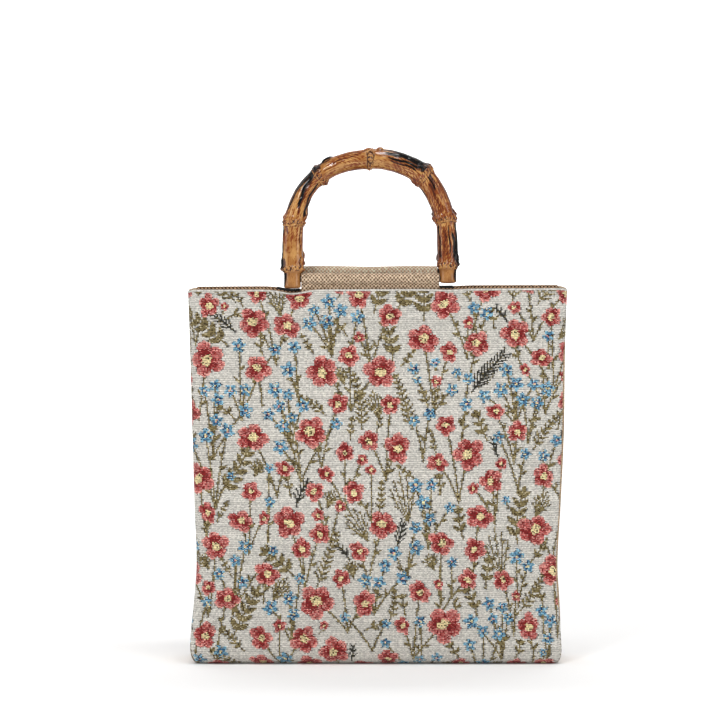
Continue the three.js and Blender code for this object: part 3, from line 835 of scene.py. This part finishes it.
def gusset_point(side, s, t):
    """A point of a side, from the front face's edge at s = -1 to the back one's at s = 1."""
    z, under = level(t)
    edge = section("left" if side < 0 else "right", z) * body_width - side_turn * under
    reach = section("corner", z) * base_depth / 2 - corner_radius - under_depth * under - seam_gap
    fold = section("fold", z) * base_depth * (1 + np.cos(s * math.pi)) / 2
    return np.stack([side * (edge - fold), s * reach, z - edge_dip(side * edge, z)], axis=-1)


def linen_side(name, node, side):
    def surface(u, v, distance):
        calm = np.clip((upright_drop - v) / 0.03, 0, 1) * np.cos(u / side_half * math.pi / 2)
        puff = 0.0006 * np.sin(v * 46 + side) * calm if distance == 0 else 0
        s, t = u / side_half, down_of(v)
        return lifted(lambda a, b: gusset_point(side, side * a, b), s, t, distance + puff)

    across, down = (-side_half, side_half), (0, cloth_drop)
    bm = cloth_wall(surface, across, down, columns=40, rows=160, thickness=linen_thickness)
    piece_from(bm, name, node, "linen", "bag", linen)


linen_side("side_left", "gusset_left", -1)
linen_side("side_right", "gusset_right", 1)

# The facings: bands of the same linen inside the mouth, sewn to the tapestry's hem and turned so
# that a narrow edge of them stands above it. Beside the tabs they lie against the tapestry.
facing_depth = 0.034
facing_rim = 0.0012
facing_span = 1.005
facing_thickness = 0.0012
cane_radius = 0.0086
tab_thickness = 0.0026
tab_ease = 0.0005
tab_low, tab_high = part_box("tab_front")
tab_half = (tab_high[0] - tab_low[0]) / 2
tab_spread = 0.012


def facing_point(dents, s, t):
    """A point of a facing's outer surface, which hangs straight down along the top edge."""
    edge = face_point(dents, s, np.zeros_like(s))
    beside = np.clip((np.abs(edge[:, 0] - handle_shift) - tab_half) / tab_spread, 0, 1)
    behind = 1 - beside * beside * (3 - 2 * beside)
    inward = tapestry_thickness + seam_gap + behind * (tab_thickness + tab_ease + seam_gap)
    hung = lifted(lambda a, b: face_point(dents, a, b), s, np.zeros_like(s), -inward)
    hung[:, 2] = edge[:, 2] + facing_rim - t * upright_drop
    return hung


def linen_facing(name, node, dents, back):
    half = facing_span * flat_reach

    def surface(u, v, distance):
        s, t = u / flat_reach, v / upright_drop
        wave = 0.0004 * np.sin(u * 71) * np.clip(v / 0.01, 0, 1) if distance == 0 else 0
        points = lifted(lambda a, b: facing_point(dents, a, b), s, t, distance + wave - 0.0002)
        # The turned edge is rounded
        points[:, 2] -= 0.0003 * np.clip(1 - v / 0.0012, 0, 1)
        if back:
            points[:, 1] *= -1
        return points

    across, down = (-half, half), (0, facing_depth)
    bm = cloth_wall(surface, across, down, columns=180, rows=24, thickness=facing_thickness, flip=back)
    # The facings wear the darker copy of the linen, with its painted shade
    piece_from(bm, name, node, "linen", "bag", painted_shade_linen)


linen_facing("facing_linen_front", "facing_front", front_dents, False)
linen_facing("facing_linen_back", "facing_back", back_dents, True)

# The tabs: a strip of linen folded over each rod and sewn down inside the mouth, so that its two
# layers lie together below the rod and open round it as a tunnel.
tab_layer = 0.0013
tunnel_radius = 0.0035
rod_height = 0.008


def linen_tab(name, node, lift, wider, finish):
    """A tab round its rod, which is so much higher than the front one, wider by so much at each end."""
    low, high = (list(corner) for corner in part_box(node))
    low[0] -= wider[0]
    high[0] += wider[1]
    middle_y = (low[1] + high[1]) / 2
    rod_z = body_height + rod_height + lift
    outer = tunnel_radius + tab_layer
    neck = math.acos(tab_thickness / 2 / outer)
    drop = rod_z - low[2] - outer * math.sin(neck)
    around = outer * (math.pi + 2 * neck)
    whole = 2 * drop + around

    def surface(u, v, distance):
        # Along the strip: up the front, over the rod and down the back
        front = v < drop
        back = v > drop + around
        angle = math.pi + neck - (v - drop) / outer
        radius = outer + distance
        y = np.where(front, -tab_thickness / 2 - distance, radius * np.cos(angle))
        y = np.where(back, tab_thickness / 2 + distance, y)
        z = np.where(front, low[2] - rod_z + v, radius * np.sin(angle))
        z = np.where(back, -outer * math.sin(neck) - (v - drop - around), z)
        sag = 0.0003 * np.sin((u - low[0]) / (high[0] - low[0]) * math.pi * 3)
        return np.stack([u, middle_y + y, rod_z + z + sag * np.clip(z / outer, 0, 1)], axis=-1)

    across, down = (low[0], high[0]), (0, whole)
    bm = cloth_wall(surface, across, down, columns=100, rows=84, thickness=tab_layer, flip=True)
    bmesh.ops.recalc_face_normals(bm, faces=bm.faces[:])
    piece_from(bm, name, node, "linen", "bag", finish)


linen_tab("tab_linen_front", "tab_front", 0.0, (0, 0), linen)
# The back tab wears the lighter copy of the linen, painted light from above
linen_tab("tab_linen_back", "tab_back", 0.0043, (0.0018, 0.0034), painted_light_linen)

# The patches under the legs, on the facings: a painted shadow, black cloth with a fine twill, for the deep
# shade where the legs meet the mouth.
shadow_cloth, shadow_cloth_shader, start = finish_start("painted_shadow_cloth")
place = object_place(start, (1, 1, 1))
axes = start.node("ShaderNodeSeparateXYZ", Vector=place)
ridge = (Maths(start.tree, axes.outputs[0]) + Maths(start.tree, axes.outputs[2])) * (2 * math.pi / 0.0011)
ridge = ridge.call("SINE") * 0.5 + 0.5
lint = noise(start, place, 900)
painted_shadow_black = lint.mix((0.012, 0.011, 0.010), (0.035, 0.032, 0.028))
attach(start, shadow_cloth_shader, painted_shadow_black, lint * 0.2 + 0.7, ridge + lint, 0.6, 0.0003)
for side in ("front", "back"):
    for foot in ("left", "right"):
        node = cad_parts[f"patch_{side}_{foot}"]
        node.data.materials.clear()
        node.data.materials.append(shadow_cloth)

# The rods: dark satin steel, through the tab's tunnel and into both legs of the cane.
steel, steel_shader, start = finish_start("dark_steel")
place = object_place(start, (40, 700, 700))
brushed = noise(start, place, 1.0, 3.0)
dark_satin = brushed.mix((0.02, 0.017, 0.015), (0.05, 0.043, 0.037))
attach(start, steel_shader, dark_satin, brushed * 0.2 + 0.3, brushed, 0.15, 0.0001)
steel_shader.inputs["Metallic"].default_value = 0.7

rod_radius = 0.003
for side, body in (("front", "front_handle"), ("back", "back_handle")):
    low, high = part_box(f"rod_{side}")
    bm = bmesh.new()
    bmesh.ops.create_cone(
        bm, cap_ends=True, segments=40, radius1=rod_radius, radius2=rod_radius, depth=high[0] - low[0],
        matrix=Matrix.Rotation(math.pi / 2, 4, "Y"),
    )
    ends = [edge for edge in bm.edges if any(len(face.verts) > 4 for face in edge.link_faces)]
    bmesh.ops.bevel(bm, geom=ends, offset=0.0005, segments=3, profile=0.5, affect="EDGES", material=-1)
    bmesh.ops.translate(bm, verts=bm.verts, vec=(Vector(low) + Vector(high)) / 2)
    piece_from(bm, f"steel_rod_{side}", f"rod_{side}", "rod", body, steel)

# The handles: root bamboo steamed into a D, scorched dark on its outer side and lacquered. Each has
# seven nodes, ringed with the pits of old roots, buds beside them and grooves that run on from the
# buds. Its ends are turned down to fit over the rod.
leg_rise = 0.0448
arch_height = 0.0587
left_stub, right_stub = 0.008, 0.0035
# In millimetres, with the pits round a node
cane_length = 298.8
pit_count = 15
cane_steps, cane_sides = 640, 96
# The sleeves at the ends, where the cane is turned down, in shares of its length
sleeve_to, sleeve_from, sleeve_fade = 0.043, 0.962, 0.004
# Along the cane: its girth, how far it bends outwards, both as shares of its radius, and its stain
girth_at = [
    0, 0.042, 0.058, 0.1, 0.16, 0.22, 0.255, 0.31, 0.38, 0.46, 0.52, 0.56, 0.61, 0.66, 0.73, 0.84,
    0.89, 0.935, 0.97, 1,
]
girth = [
    0.85, 0.85, 0.96, 1.02, 1.02, 0.95, 0.92, 0.85, 0.92, 0.96, 0.98, 1.04, 1.07, 1.08, 1.03, 0.99,
    1.03, 0.99, 0.84, 0.83,
]
bend_at = [
    0, 0.1, 0.15, 0.19, 0.225, 0.255, 0.29, 0.34, 0.375, 0.43, 0.49, 0.55, 0.61, 0.66, 0.69, 0.73,
    0.77, 0.8, 0.83, 0.87, 0.92, 0.955, 1,
]
bends = [
    0, 0, -0.03, -0.14, -0.24, -0.24, -0.15, -0.05, 0.03, 0.03, 0, 0.1, 0.12, 0.14, -0.02, -0.22,
    -0.34, -0.33, -0.21, -0.07, -0.03, 0, 0,
]
brown_at = [0, 0.07, 0.13, 0.19, 0.27, 0.35, 0.42, 0.5, 0.58, 0.65, 0.72, 0.8, 0.88, 0.95, 1]
browning = [0.2, 0.25, 0.27, 0.36, 0.38, 0.42, 0.38, 0.32, 0.44, 0.5, 0.58, 0.55, 0.6, 0.5, 0.38]
# Places on the cane are shares of its length, and angles round it: 0 outside, 90 front, 180 inside.
# Lengths are in millimetres. A node: along, swell, reach along, side that its pits are on.
cane_nodes = [
    (0.052, 1.2, 2.9, 1),
    (0.188, 1.5, 3.6, 1),
    (0.348, 1.7, 3.8, 1),
    (0.506, 1, 3, -1),
    (0.672, 1.5, 3.2, -1),
    (0.817, 1.4, 3.4, -1),
    (0.951, 1.3, 2.8, -1),
]
# A bud: along, angle, half length, half width, height, scorch, stain
cane_buds = [
    (0.07, 2, 5, 5, 1.5, 1, 0),
    (0.074, 166, 4, 4, 2.3, 0, 1),
    (0.051, 178, 3, 5.5, 1.7, 0, 0.5),
    (0.217, 172, 5, 3.4, 2.3, 0, 0.5),
    (0.357, 172, 2.6, 3, 1.5, 0, 0.6),
    (0.39, 6, 4, 3.8, 2.2, 1, 0),
    (0.497, 20, 1.6, 2.2, 0.8, 0, 0.6),
    (0.533, 12, 2.4, 3.2, 1.9, 0, 0.45),
    (0.678, 12, 3.2, 4.5, 1.3, 0.3, 0.5),
    (0.656, 168, 2.8, 3.2, 2, 0, 0.6),
    (0.806, 172, 2.4, 3, 2.3, 0, 0.6),
    (0.811, 10, 2.6, 3.6, 0.9, 0, 0.4),
    (0.934, 8, 5, 5, 1.4, 1, 0),
    (0.943, 170, 2.4, 3, 1, 0, 0.5),
    (0.647, 46, 1.3, 1.3, 0.9, 1, 0),
    (0.654, 60, 1.2, 1.3, 0.9, 1, 0),
    (0.649, 73, 1.2, 1.2, 0.8, 1, 0),
    (0.662, 50, 1.2, 1.2, 0.8, 1, 0),
    (0.661, 76, 1.2, 1.2, 0.7, 0.9, 0),
    (0.12, 300, 3, 3, 1.2, 0.2, 0.6),
    (0.43, 250, 2.6, 3, 1.2, 0, 0.6),
    (0.74, 285, 3, 3, 1.2, 0.8, 0.2),
]
# A mark: from, to, angle from, angle to, half width, half width at its end, relief, scorch, stain
cane_marks = [
    # The first mark blackens the outer side of the left turned end: partly scorch, partly painted shade
    # that rounds the end
    (0, 0.05, 16, 20, 3, 2.8, 0, 1, 0.4),
    (0.05, 0.20, 2, 8, 3, 2.8, 0, 1.1, 0.3),
    (0.098, 0.182, 140, 136, 0.7, 0.8, -0.5, 0.55, 0.9),
    (0.095, 0.185, 158, 152, 2, 1.6, 0.1, 0, 0.55),
    (0.150, 0.188, 60, 42, 1.6, 2.4, 0, 0, 0.9),
    (0.12, 0.165, 44, 38, 1.6, 1.6, 0, 0, 0.75),
    (0.095, 0.12, 62, 66, 2, 1.4, 0, 0, 0.7),
    (0.198, 0.36, 6, 12, 2.4, 4.8, 0, 1.1, 0.5),
    (0.30, 0.37, 40, 44, 2.4, 4.4, -0.1, 0.62, 0.8),
    (0.205, 0.34, 150, 130, 1.2, 0.8, -0.8, 1, 0.8),
    (0.205, 0.29, 170, 166, 2.4, 1.4, 0, 0.5, 1),
    (0.225, 0.345, 98, 54, 0.8, 2.2, -0.5, 1.05, 0.8),
    (0.205, 0.33, 104, 88, 1.4, 2.2, -0.15, 0, 1),
    (0.215, 0.335, 62, 42, 1.6, 1.8, 0.35, 0, 0.1),
    (0.355, 0.39, 20, 20, 3, 4, 0, 0.7, 0.4),
    (0.392, 0.455, 4, 10, 2.6, 1.2, 0, 1, 0.2),
    (0.385, 0.49, 78, 62, 0.8, 1, -0.2, 0.2, 1),
    (0.36, 0.44, 96, 86, 0.8, 0.8, -0.1, 0, 0.9),
    (0.41, 0.5, 48, 38, 1.3, 1.5, -0.25, 0.2, 0.85),
    (0.36, 0.40, 130, 124, 1.4, 1.4, 0, 0, 0.7),
    (0.42, 0.47, 118, 112, 1.4, 1.4, 0, 0, 0.55),
    (0.522, 0.62, 66, 48, 1.4, 1.8, -0.3, 0.2, 1),
    (0.525, 0.64, 38, 30, 1.4, 3, 0, 0.3, 0.8),
    (0.54, 0.66, 58, 48, 0.9, 2.4, -0.3, 1.2, 0.6),
    (0.53, 0.66, 30, 34, 1.2, 3, 0, 0.7, 0.8),
    (0.55, 0.655, 88, 74, 0.6, 1.4, -0.3, 1.05, 0.7),
    (0.56, 0.65, 106, 92, 0.5, 1, -0.2, 0.7, 0.9),
    (0.565, 0.675, 6, 14, 2.8, 4.8, 0, 1.1, 0.5),
    (0.555, 0.63, 100, 92, 0.8, 0.8, -0.1, 0, 0.9),
    (0.60, 0.655, 128, 120, 1.6, 1.8, 0, 0, 0.7),
    (0.645, 0.667, 62, 62, 3.4, 3.4, 0, 0.75, 0.3),
    (0.680, 0.73, 66, 84, 3, 1, -0.2, 0.5, 1.1),
    (0.69, 0.80, 96, 104, 2.6, 1.6, 0, 0, 1),
    (0.685, 0.81, 6, 14, 2.4, 2.4, 0, 0.1, 1.1),
    (0.682, 0.775, 54, 70, 0.7, 0.6, -0.5, 0.25, 0.6),
    (0.685, 0.765, 30, 44, 1.8, 1.4, 0, 0.1, 0.9),
    (0.680, 0.80, 172, 168, 2.4, 2.2, 0, 0.5, 1),
    (0.70, 0.80, 118, 122, 4.4, 3.4, 0, 0, 0.42),
    (0.825, 0.935, 146, 136, 1.4, 1.8, -0.15, 0.62, 1),
    (0.82, 0.95, 118, 112, 4.2, 4.4, 0, 0, 0.62),
    (0.82, 0.94, 168, 168, 1.6, 1.6, 0, 0, 0.3),
    (0.85, 0.945, 58, 34, 0.8, 2.4, -0.5, 1.15, 0.7),
    (0.83, 0.925, 82, 74, 0.4, 0.5, -0.4, 0.9, 0.9),
    (0.83, 0.93, 104, 100, 2.6, 2.6, 0, 0, 0.85),
    (0.82, 0.945, 24, 14, 1.8, 4.6, 0, 1.05, 0.8),
    (0.835, 0.93, 52, 44, 1.2, 0.6, 0.35, 0, 0),
    (0.948, 1, 14, 14, 3.4, 3.4, 0, 1, 0.3),
    (0.21, 0.335, 84, 72, 0.4, 0.5, -0.4, 0, 0.8),
    (0.37, 0.49, 66, 54, 0.4, 0.4, -0.35, 0, 0.9),
    (0.53, 0.65, 78, 64, 0.4, 0.5, -0.4, 0.1, 0.9),
    (0.70, 0.80, 82, 92, 0.4, 0.4, -0.4, 0, 0.9),
    (0.84, 0.93, 96, 88, 0.4, 0.4, -0.35, 0, 0.9),
    (0.09, 0.18, 88, 80, 0.4, 0.4, -0.25, 0, 0.6),
    (0.952, 0.985, 96, 104, 1.8, 1.2, 0, 0, 0.9),
    (0.08, 0.18, 262, 250, 0.8, 1, -0.4, 0.6, 0.9),
    (0.21, 0.33, 285, 262, 0.8, 1.6, -0.4, 0.8, 0.8),
    (0.36, 0.49, 300, 285, 0.9, 1.2, -0.3, 0.3, 1),
    (0.37, 0.48, 236, 244, 1.2, 1.2, 0, 0, 0.8),
    (0.52, 0.65, 296, 312, 1, 1.8, -0.4, 0.8, 0.8),
    (0.54, 0.66, 240, 232, 1.2, 1.2, 0, 0, 0.8),
    (0.69, 0.80, 300, 282, 0.8, 0.9, -0.4, 0.5, 0.9),
    (0.70, 0.79, 236, 240, 3, 3, 0, 0, 0.45),
    (0.83, 0.94, 282, 300, 0.8, 1.4, -0.4, 0.9, 0.6),
]


def cane_line(trim):
    """Points along the middle of the cane in the handle's own plane, and how far along each is."""
    angle = np.linspace(0, math.pi, 900)
    rise = np.linspace(-left_stub, leg_rise, 200)[:-1]
    fall = np.linspace(leg_rise, -right_stub, 200)[1:]
    left, right = np.full(rise.shape, -half_legs), np.full(fall.shape, half_legs)
    x = np.concatenate([left, -half_legs * np.cos(angle), right])
    z = np.concatenate([rise, leg_rise + (arch_height - trim) * np.sin(angle), fall])
    length = np.concatenate([[0], np.cumsum(np.hypot(np.diff(x), np.diff(z)))])
    return x, z, length


def turn_between(angle, other):
    return (angle - other + 180) % 360 - 180


def cane_skin(along, angle):
    """How far the cane's skin stands from its middle, in metres, and its scorch, stain (with painted shade
    towards the outline) and seams.
    """
    turn = np.radians(angle)
    random = np.random.default_rng(7)
    base = smooth_curve(girth_at, girth, along) * cane_radius * 1000
    # Millimetres round the cane in a degree
    round_mm = math.pi / 180 * base
    relief = 0.05 * np.sin(along * 170 + 2 * np.sin(turn)) + 0.1 * np.sin(turn * 3 + along * 9)
    relief += 0.07 * np.sin(turn * 7 + along * 25)
    scorch, seam = np.zeros_like(along), np.zeros_like(along)
    # The lacquer is browned all over; the extra brown towards the outer and inner sides of the bow is
    # painted shade, darkening the cane towards its outline seen from the front
    browned = 0.2 * np.sin(along * 41 + 1.3) + 0.14 * np.sin(along * 97)
    browned = browned + 0.1 * np.sin(turn * 2 + along * 60)
    stain = smooth_curve(brown_at, browning, along) + 0.45 * np.cos(turn) ** 8 + 0.45 * browned
    for start, stop, first, last, width, end_width, depth, black, brown in cane_marks:
        t = (along - start) / (stop - start)
        inside = np.clip(t / 0.18, 0, 1) * np.clip((1 - t) / 0.14, 0, 1)
        t = np.clip(t, 0, 1)
        middle = first + (last - first) * t + 3 * np.sin(along * 110 + first)
        half = (width + (end_width - width) * t) * (0.35 + 0.65 * inside)
        away = np.abs(turn_between(angle, middle)) * round_mm / half
        line = np.exp(-(away**2) * 0.8) * np.minimum(inside * 1.6, 1)
        relief += depth * line
        scorch = np.maximum(scorch, black * line)
        stain = np.maximum(stain, brown * line)
    for at, middle, long, wide, high, black, brown in cane_buds:
        away = np.hypot((along - at) * cane_length / long, turn_between(angle, middle) * round_mm / wide)
        lump = np.exp(-(away**2.6) * 0.9)
        relief += high * lump - 0.22 * min(high, 1.5) * hill((away - 0.25) / 0.2)
        scorch = np.maximum(scorch, black * np.exp(-(away**4) * 0.5))
        stain = np.maximum(stain, brown * np.exp(-(away**2)))
        ring = hill((away - 1.25) / 0.22) * (0.75 + 0.25 * np.sin(turn * 11))
        seam = np.maximum(seam, 0.8 * ring)
        relief -= 0.25 * ring
    for at, swell, reach, side in cane_nodes:
        away = (along - at) * cane_length + 0.5 * np.sin(turn * 2 + at * 30)
        relief += swell * hill(away / reach) * (0.86 + 0.14 * np.sin(turn * 3 + at * 50))
        ridge = hill((away + side * 2.3) / 0.55)
        relief += 0.5 * ridge
        scorch = scorch * (1 - 0.8 * ridge)
        stain = stain * (1 - 0.55 * ridge)
        for line, weight in ((3.4, 0.8), (1.3, 0.62)):
            under = hill((away + side * line) / 0.42)
            relief -= 0.3 * under
            seam = np.maximum(seam, weight * under * (0.75 + 0.4 * np.sin(turn * 7 + at * 90 + line)))
        halo = hill(away / 5.5)
        stain = np.maximum(stain, 0.34 * halo)
        for k in range(pit_count):
            # A bump of the ring, with a dark crack along one side of it, and a pit beside it
            bump_angle = 360 / pit_count * (k + 0.5 * (random.random() - 0.5))
            shift = side * 0.3 + 1.5 * (random.random() - 0.5)
            long, wide = 1.2 + 0.8 * random.random(), 1.1 + 0.5 * random.random()
            twist = 0.5 * (random.random() - 0.5)
            over = turn_between(angle, bump_angle) * round_mm
            out = np.hypot((away - shift + over * twist) / long, over / wide)
            relief += (0.45 + 0.5 * random.random()) * np.exp(-(out**2.4))
            crack = hill((out - 1.15) / 0.3)
            crack = crack * np.clip(0.5 + 0.9 * np.sign(random.random() - 0.4) * over / wide, 0, 1)
            relief -= 0.4 * crack
            seam = np.maximum(seam, (0.65 + 0.35 * random.random()) * crack)
            pit_angle = bump_angle + 180 / pit_count
            pit_shift = shift + 1.6 * (random.random() - 0.5)
            long, wide = 0.6 + 0.5 * random.random(), 0.5 + 0.4 * random.random()
            over = turn_between(angle, pit_angle) * round_mm
            pit = np.exp(-(np.hypot((away - pit_shift) / long, over / wide) ** 2.4))
            relief -= (0.5 + 0.5 * random.random()) * pit
            seam = np.maximum(seam, pit)
    # The oval scar on the top node
    across = turn_between(angle, 88) * round_mm / 5.2
    oval = hill((np.hypot((along - 0.508) * cane_length / 2.7, across) - 1) / 0.2)
    relief -= 0.6 * oval
    seam = np.maximum(seam, 0.75 * oval)
    for crack_along, crack_angle, reach in ((0.4985, 62, 14), (0.4985, 130, 38)):
        crack = hill((along - crack_along) * cane_length / 0.5)
        crack = crack * np.exp(-((turn_between(angle, crack_angle) / reach) ** 4))
        relief -= 0.5 * crack
        seam = np.maximum(seam, crack)
    cane = np.clip((along - sleeve_to) / sleeve_fade, 0, 1)
    sleeve = 1 - cane * np.clip((sleeve_from - along) / sleeve_fade, 0, 1)
    relief = relief * (1 - 0.97 * sleeve)
    seam = seam * (1 - sleeve)
    end = np.minimum(along, 1 - along) * cane_length
    lip = 0.14 * np.clip(1 - end / 1.2, 0, 1) ** 2
    return (base * (1 - lip) + relief) / 1000, scorch, stain * (1 - 0.5 * sleeve), seam, sleeve


def bamboo_finish():
    made, shader, start = finish_start("lacquered_bamboo")
    u, v, _ = cloth_coordinates(start)
    scorch, stain, seam, sleeve = (
        start.out("ShaderNodeAttribute", {"attribute_name": name}, "Fac")
        for name in ("scorch", "stain", "seam", "sleeve")
    )
    place = object_place(start, (1, 1, 1))
    cloud = noise(start, place, 110, 3.0)
    fleck = noise(start, place, 620, 3.0)
    # Fine fibres run along the cane, and short brush marks of brown stain slant across it
    along = start.out("ShaderNodeCombineXYZ", X=u * 55, Y=v * 1150)
    fibre = noise(start, along, 1.0, 3.0)
    slant = start.out("ShaderNodeCombineXYZ", X=u * 170 + v * 300, Y=v * 760 - u * 420)
    brush = noise(start, slant, 1.0, 2.0)
    honey = cloud.ramp(0.35, 0.65).mix((0.60, 0.315, 0.10), (0.38, 0.155, 0.037))
    grained = (fibre.ramp(0.48, 0.62) * 0.55).mix(honey, (0.26, 0.072, 0.015))
    # Heavier staining, with the painted shade towards the outline, deepens from a red brown to nearly black
    strokes = (brush - 0.5) * 2.0 + (fibre - 0.5) * 1.5 + (fleck - 0.5) * 0.4
    streak = (stain + strokes).ramp(0.37, 0.62)
    stained = (streak * 0.94).mix(grained, (0.215, 0.042, 0.008))
    deep = (stain + (brush - 0.5) * 1.2 + (fibre - 0.5) * 0.9).ramp(0.72, 1.0)
    stained = (deep * 0.95).mix(stained, (0.062, 0.011, 0.004))
    turned = (cloud * 0.6 + fibre * 0.4).ramp(0.38, 0.62).mix((0.25, 0.095, 0.026), (0.44, 0.205, 0.065))
    smooth = (sleeve * (1 - streak * 0.5)).mix(stained, turned)
    pitted = (seam + (fleck - 0.5) * 0.5).ramp(0.3, 0.7)
    noded = (pitted * 0.97).mix(smooth, (0.048, 0.010, 0.005))
    char = (scorch + (brush - 0.5) * 0.5 + (fibre - 0.5) * 1.7).ramp(0.4, 0.56)
    edge = (scorch + (brush - 0.5) * 0.6 + (fibre - 0.5) * 1.0).ramp(0.14, 0.42)
    colour = char.mix((edge * 0.85).mix(noded, (0.085, 0.02, 0.007)), (0.0035, 0.003, 0.003))
    rough = fleck * 0.12 + sleeve * 0.15 + 0.26
    attach(start, shader, colour, rough, fibre * 0.5 + cloud, 0.25, 0.0004)
    shader.inputs["Specular IOR Level"].default_value = 0.02
    # The lacquer is thinner towards the outline, where it would only mirror the pale room
    slanted = start.out("ShaderNodeLayerWeight", output="Facing")
    start.feed(shader.inputs["Coat Weight"], (0.8 - slanted.ramp(0.35, 0.9) * 0.7) * (1 - char * 0.5))
    shader.inputs["Coat Roughness"].default_value = 0.06
    return made


bamboo = bamboo_finish()


def bamboo_handle(name, node, body, side, trim):
    rod_low, rod_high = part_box(f"rod_{body.split('_')[0]}")
    rod_middle = (Vector(rod_low) + Vector(rod_high)) / 2
    x, z, length = cane_line(trim)
    whole = length[-1]
    bm = bmesh.new()
    uv_layer = bm.loops.layers.uv.new("cloth")
    layers = [bm.verts.layers.float.new(name) for name in ("scorch", "stain", "seam", "sleeve")]
    made = bmesh.ops.create_grid(bm, x_segments=cane_steps, y_segments=cane_sides, size=1)["verts"]
    flat = np.array([v.co for v in made])
    along = (flat[:, 0] + 1) / 2
    angle = (flat[:, 1] + 1) / 2 * 360
    centre_x = np.interp(along * whole, length, x)
    centre_z = np.interp(along * whole, length, z)
    small = 0.0008
    ahead = np.clip(along * whole + small, 0, whole)
    behind = np.clip(along * whole - small, 0, whole)
    way_x = np.interp(ahead, length, x) - np.interp(behind, length, x)
    way_z = np.interp(ahead, length, z) - np.interp(behind, length, z)
    size = np.hypot(way_x, way_z)
    way_x, way_z = way_x / size, way_z / size
    # The back handle's marks face the back
    radius, *marks = cane_skin(along, angle if side < 0 else 360 - angle)
    out = radius * np.cos(np.radians(angle)) + smooth_curve(bend_at, bends, along) * cane_radius
    depth = -radius * np.sin(np.radians(angle))
    px = centre_x - way_z * out
    pz = centre_z + way_x * out
    reach = abs(rod_middle.y) - cane_top_radius - half_gap
    lean = side * math.asin(reach / (leg_rise + arch_height - trim))
    py = depth * math.cos(lean) - pz * math.sin(lean)
    pz = depth * math.sin(lean) + pz * math.cos(lean)
    spots = np.stack([px + rod_middle.x, py + rod_middle.y, pz + rod_middle.z], axis=-1)
    spot_uv = {}
    for k, vert in enumerate(made):
        vert.co = spots[k]
        spot_uv[vert] = (along[k] * whole, math.radians(angle[k]) * cane_radius)
        for layer, values in zip(layers, marks):
            vert[layer] = values[k]
    for face in bm.faces:
        for loop in face.loops:
            loop[uv_layer].uv = spot_uv[loop.vert]
    bmesh.ops.remove_doubles(bm, verts=bm.verts, dist=0.000001)
    ends = bmesh.ops.holes_fill(bm, edges=[edge for edge in bm.edges if edge.is_boundary], sides=0)["faces"]
    bmesh.ops.inset_region(bm, faces=ends, thickness=0.0012, depth=-0.0002, use_even_offset=True)
    bmesh.ops.recalc_face_normals(bm, faces=bm.faces[:])
    piece_from(bm, name, node, "bamboo", body, bamboo)


# Both handles lean in until their tops nearly meet
half_gap = 0.0003
top_along, top_angle = np.meshgrid(np.linspace(0.46, 0.56, 60), np.linspace(60, 120, 13))
cane_top_radius = float((cane_skin(top_along, top_angle)[0] * np.sin(np.radians(top_angle))).max())
bamboo_handle("bamboo_front", "handle_front", "front_handle", -1, 0.0)
bamboo_handle("bamboo_back", "handle_back", "back_handle", 1, 0.0051)
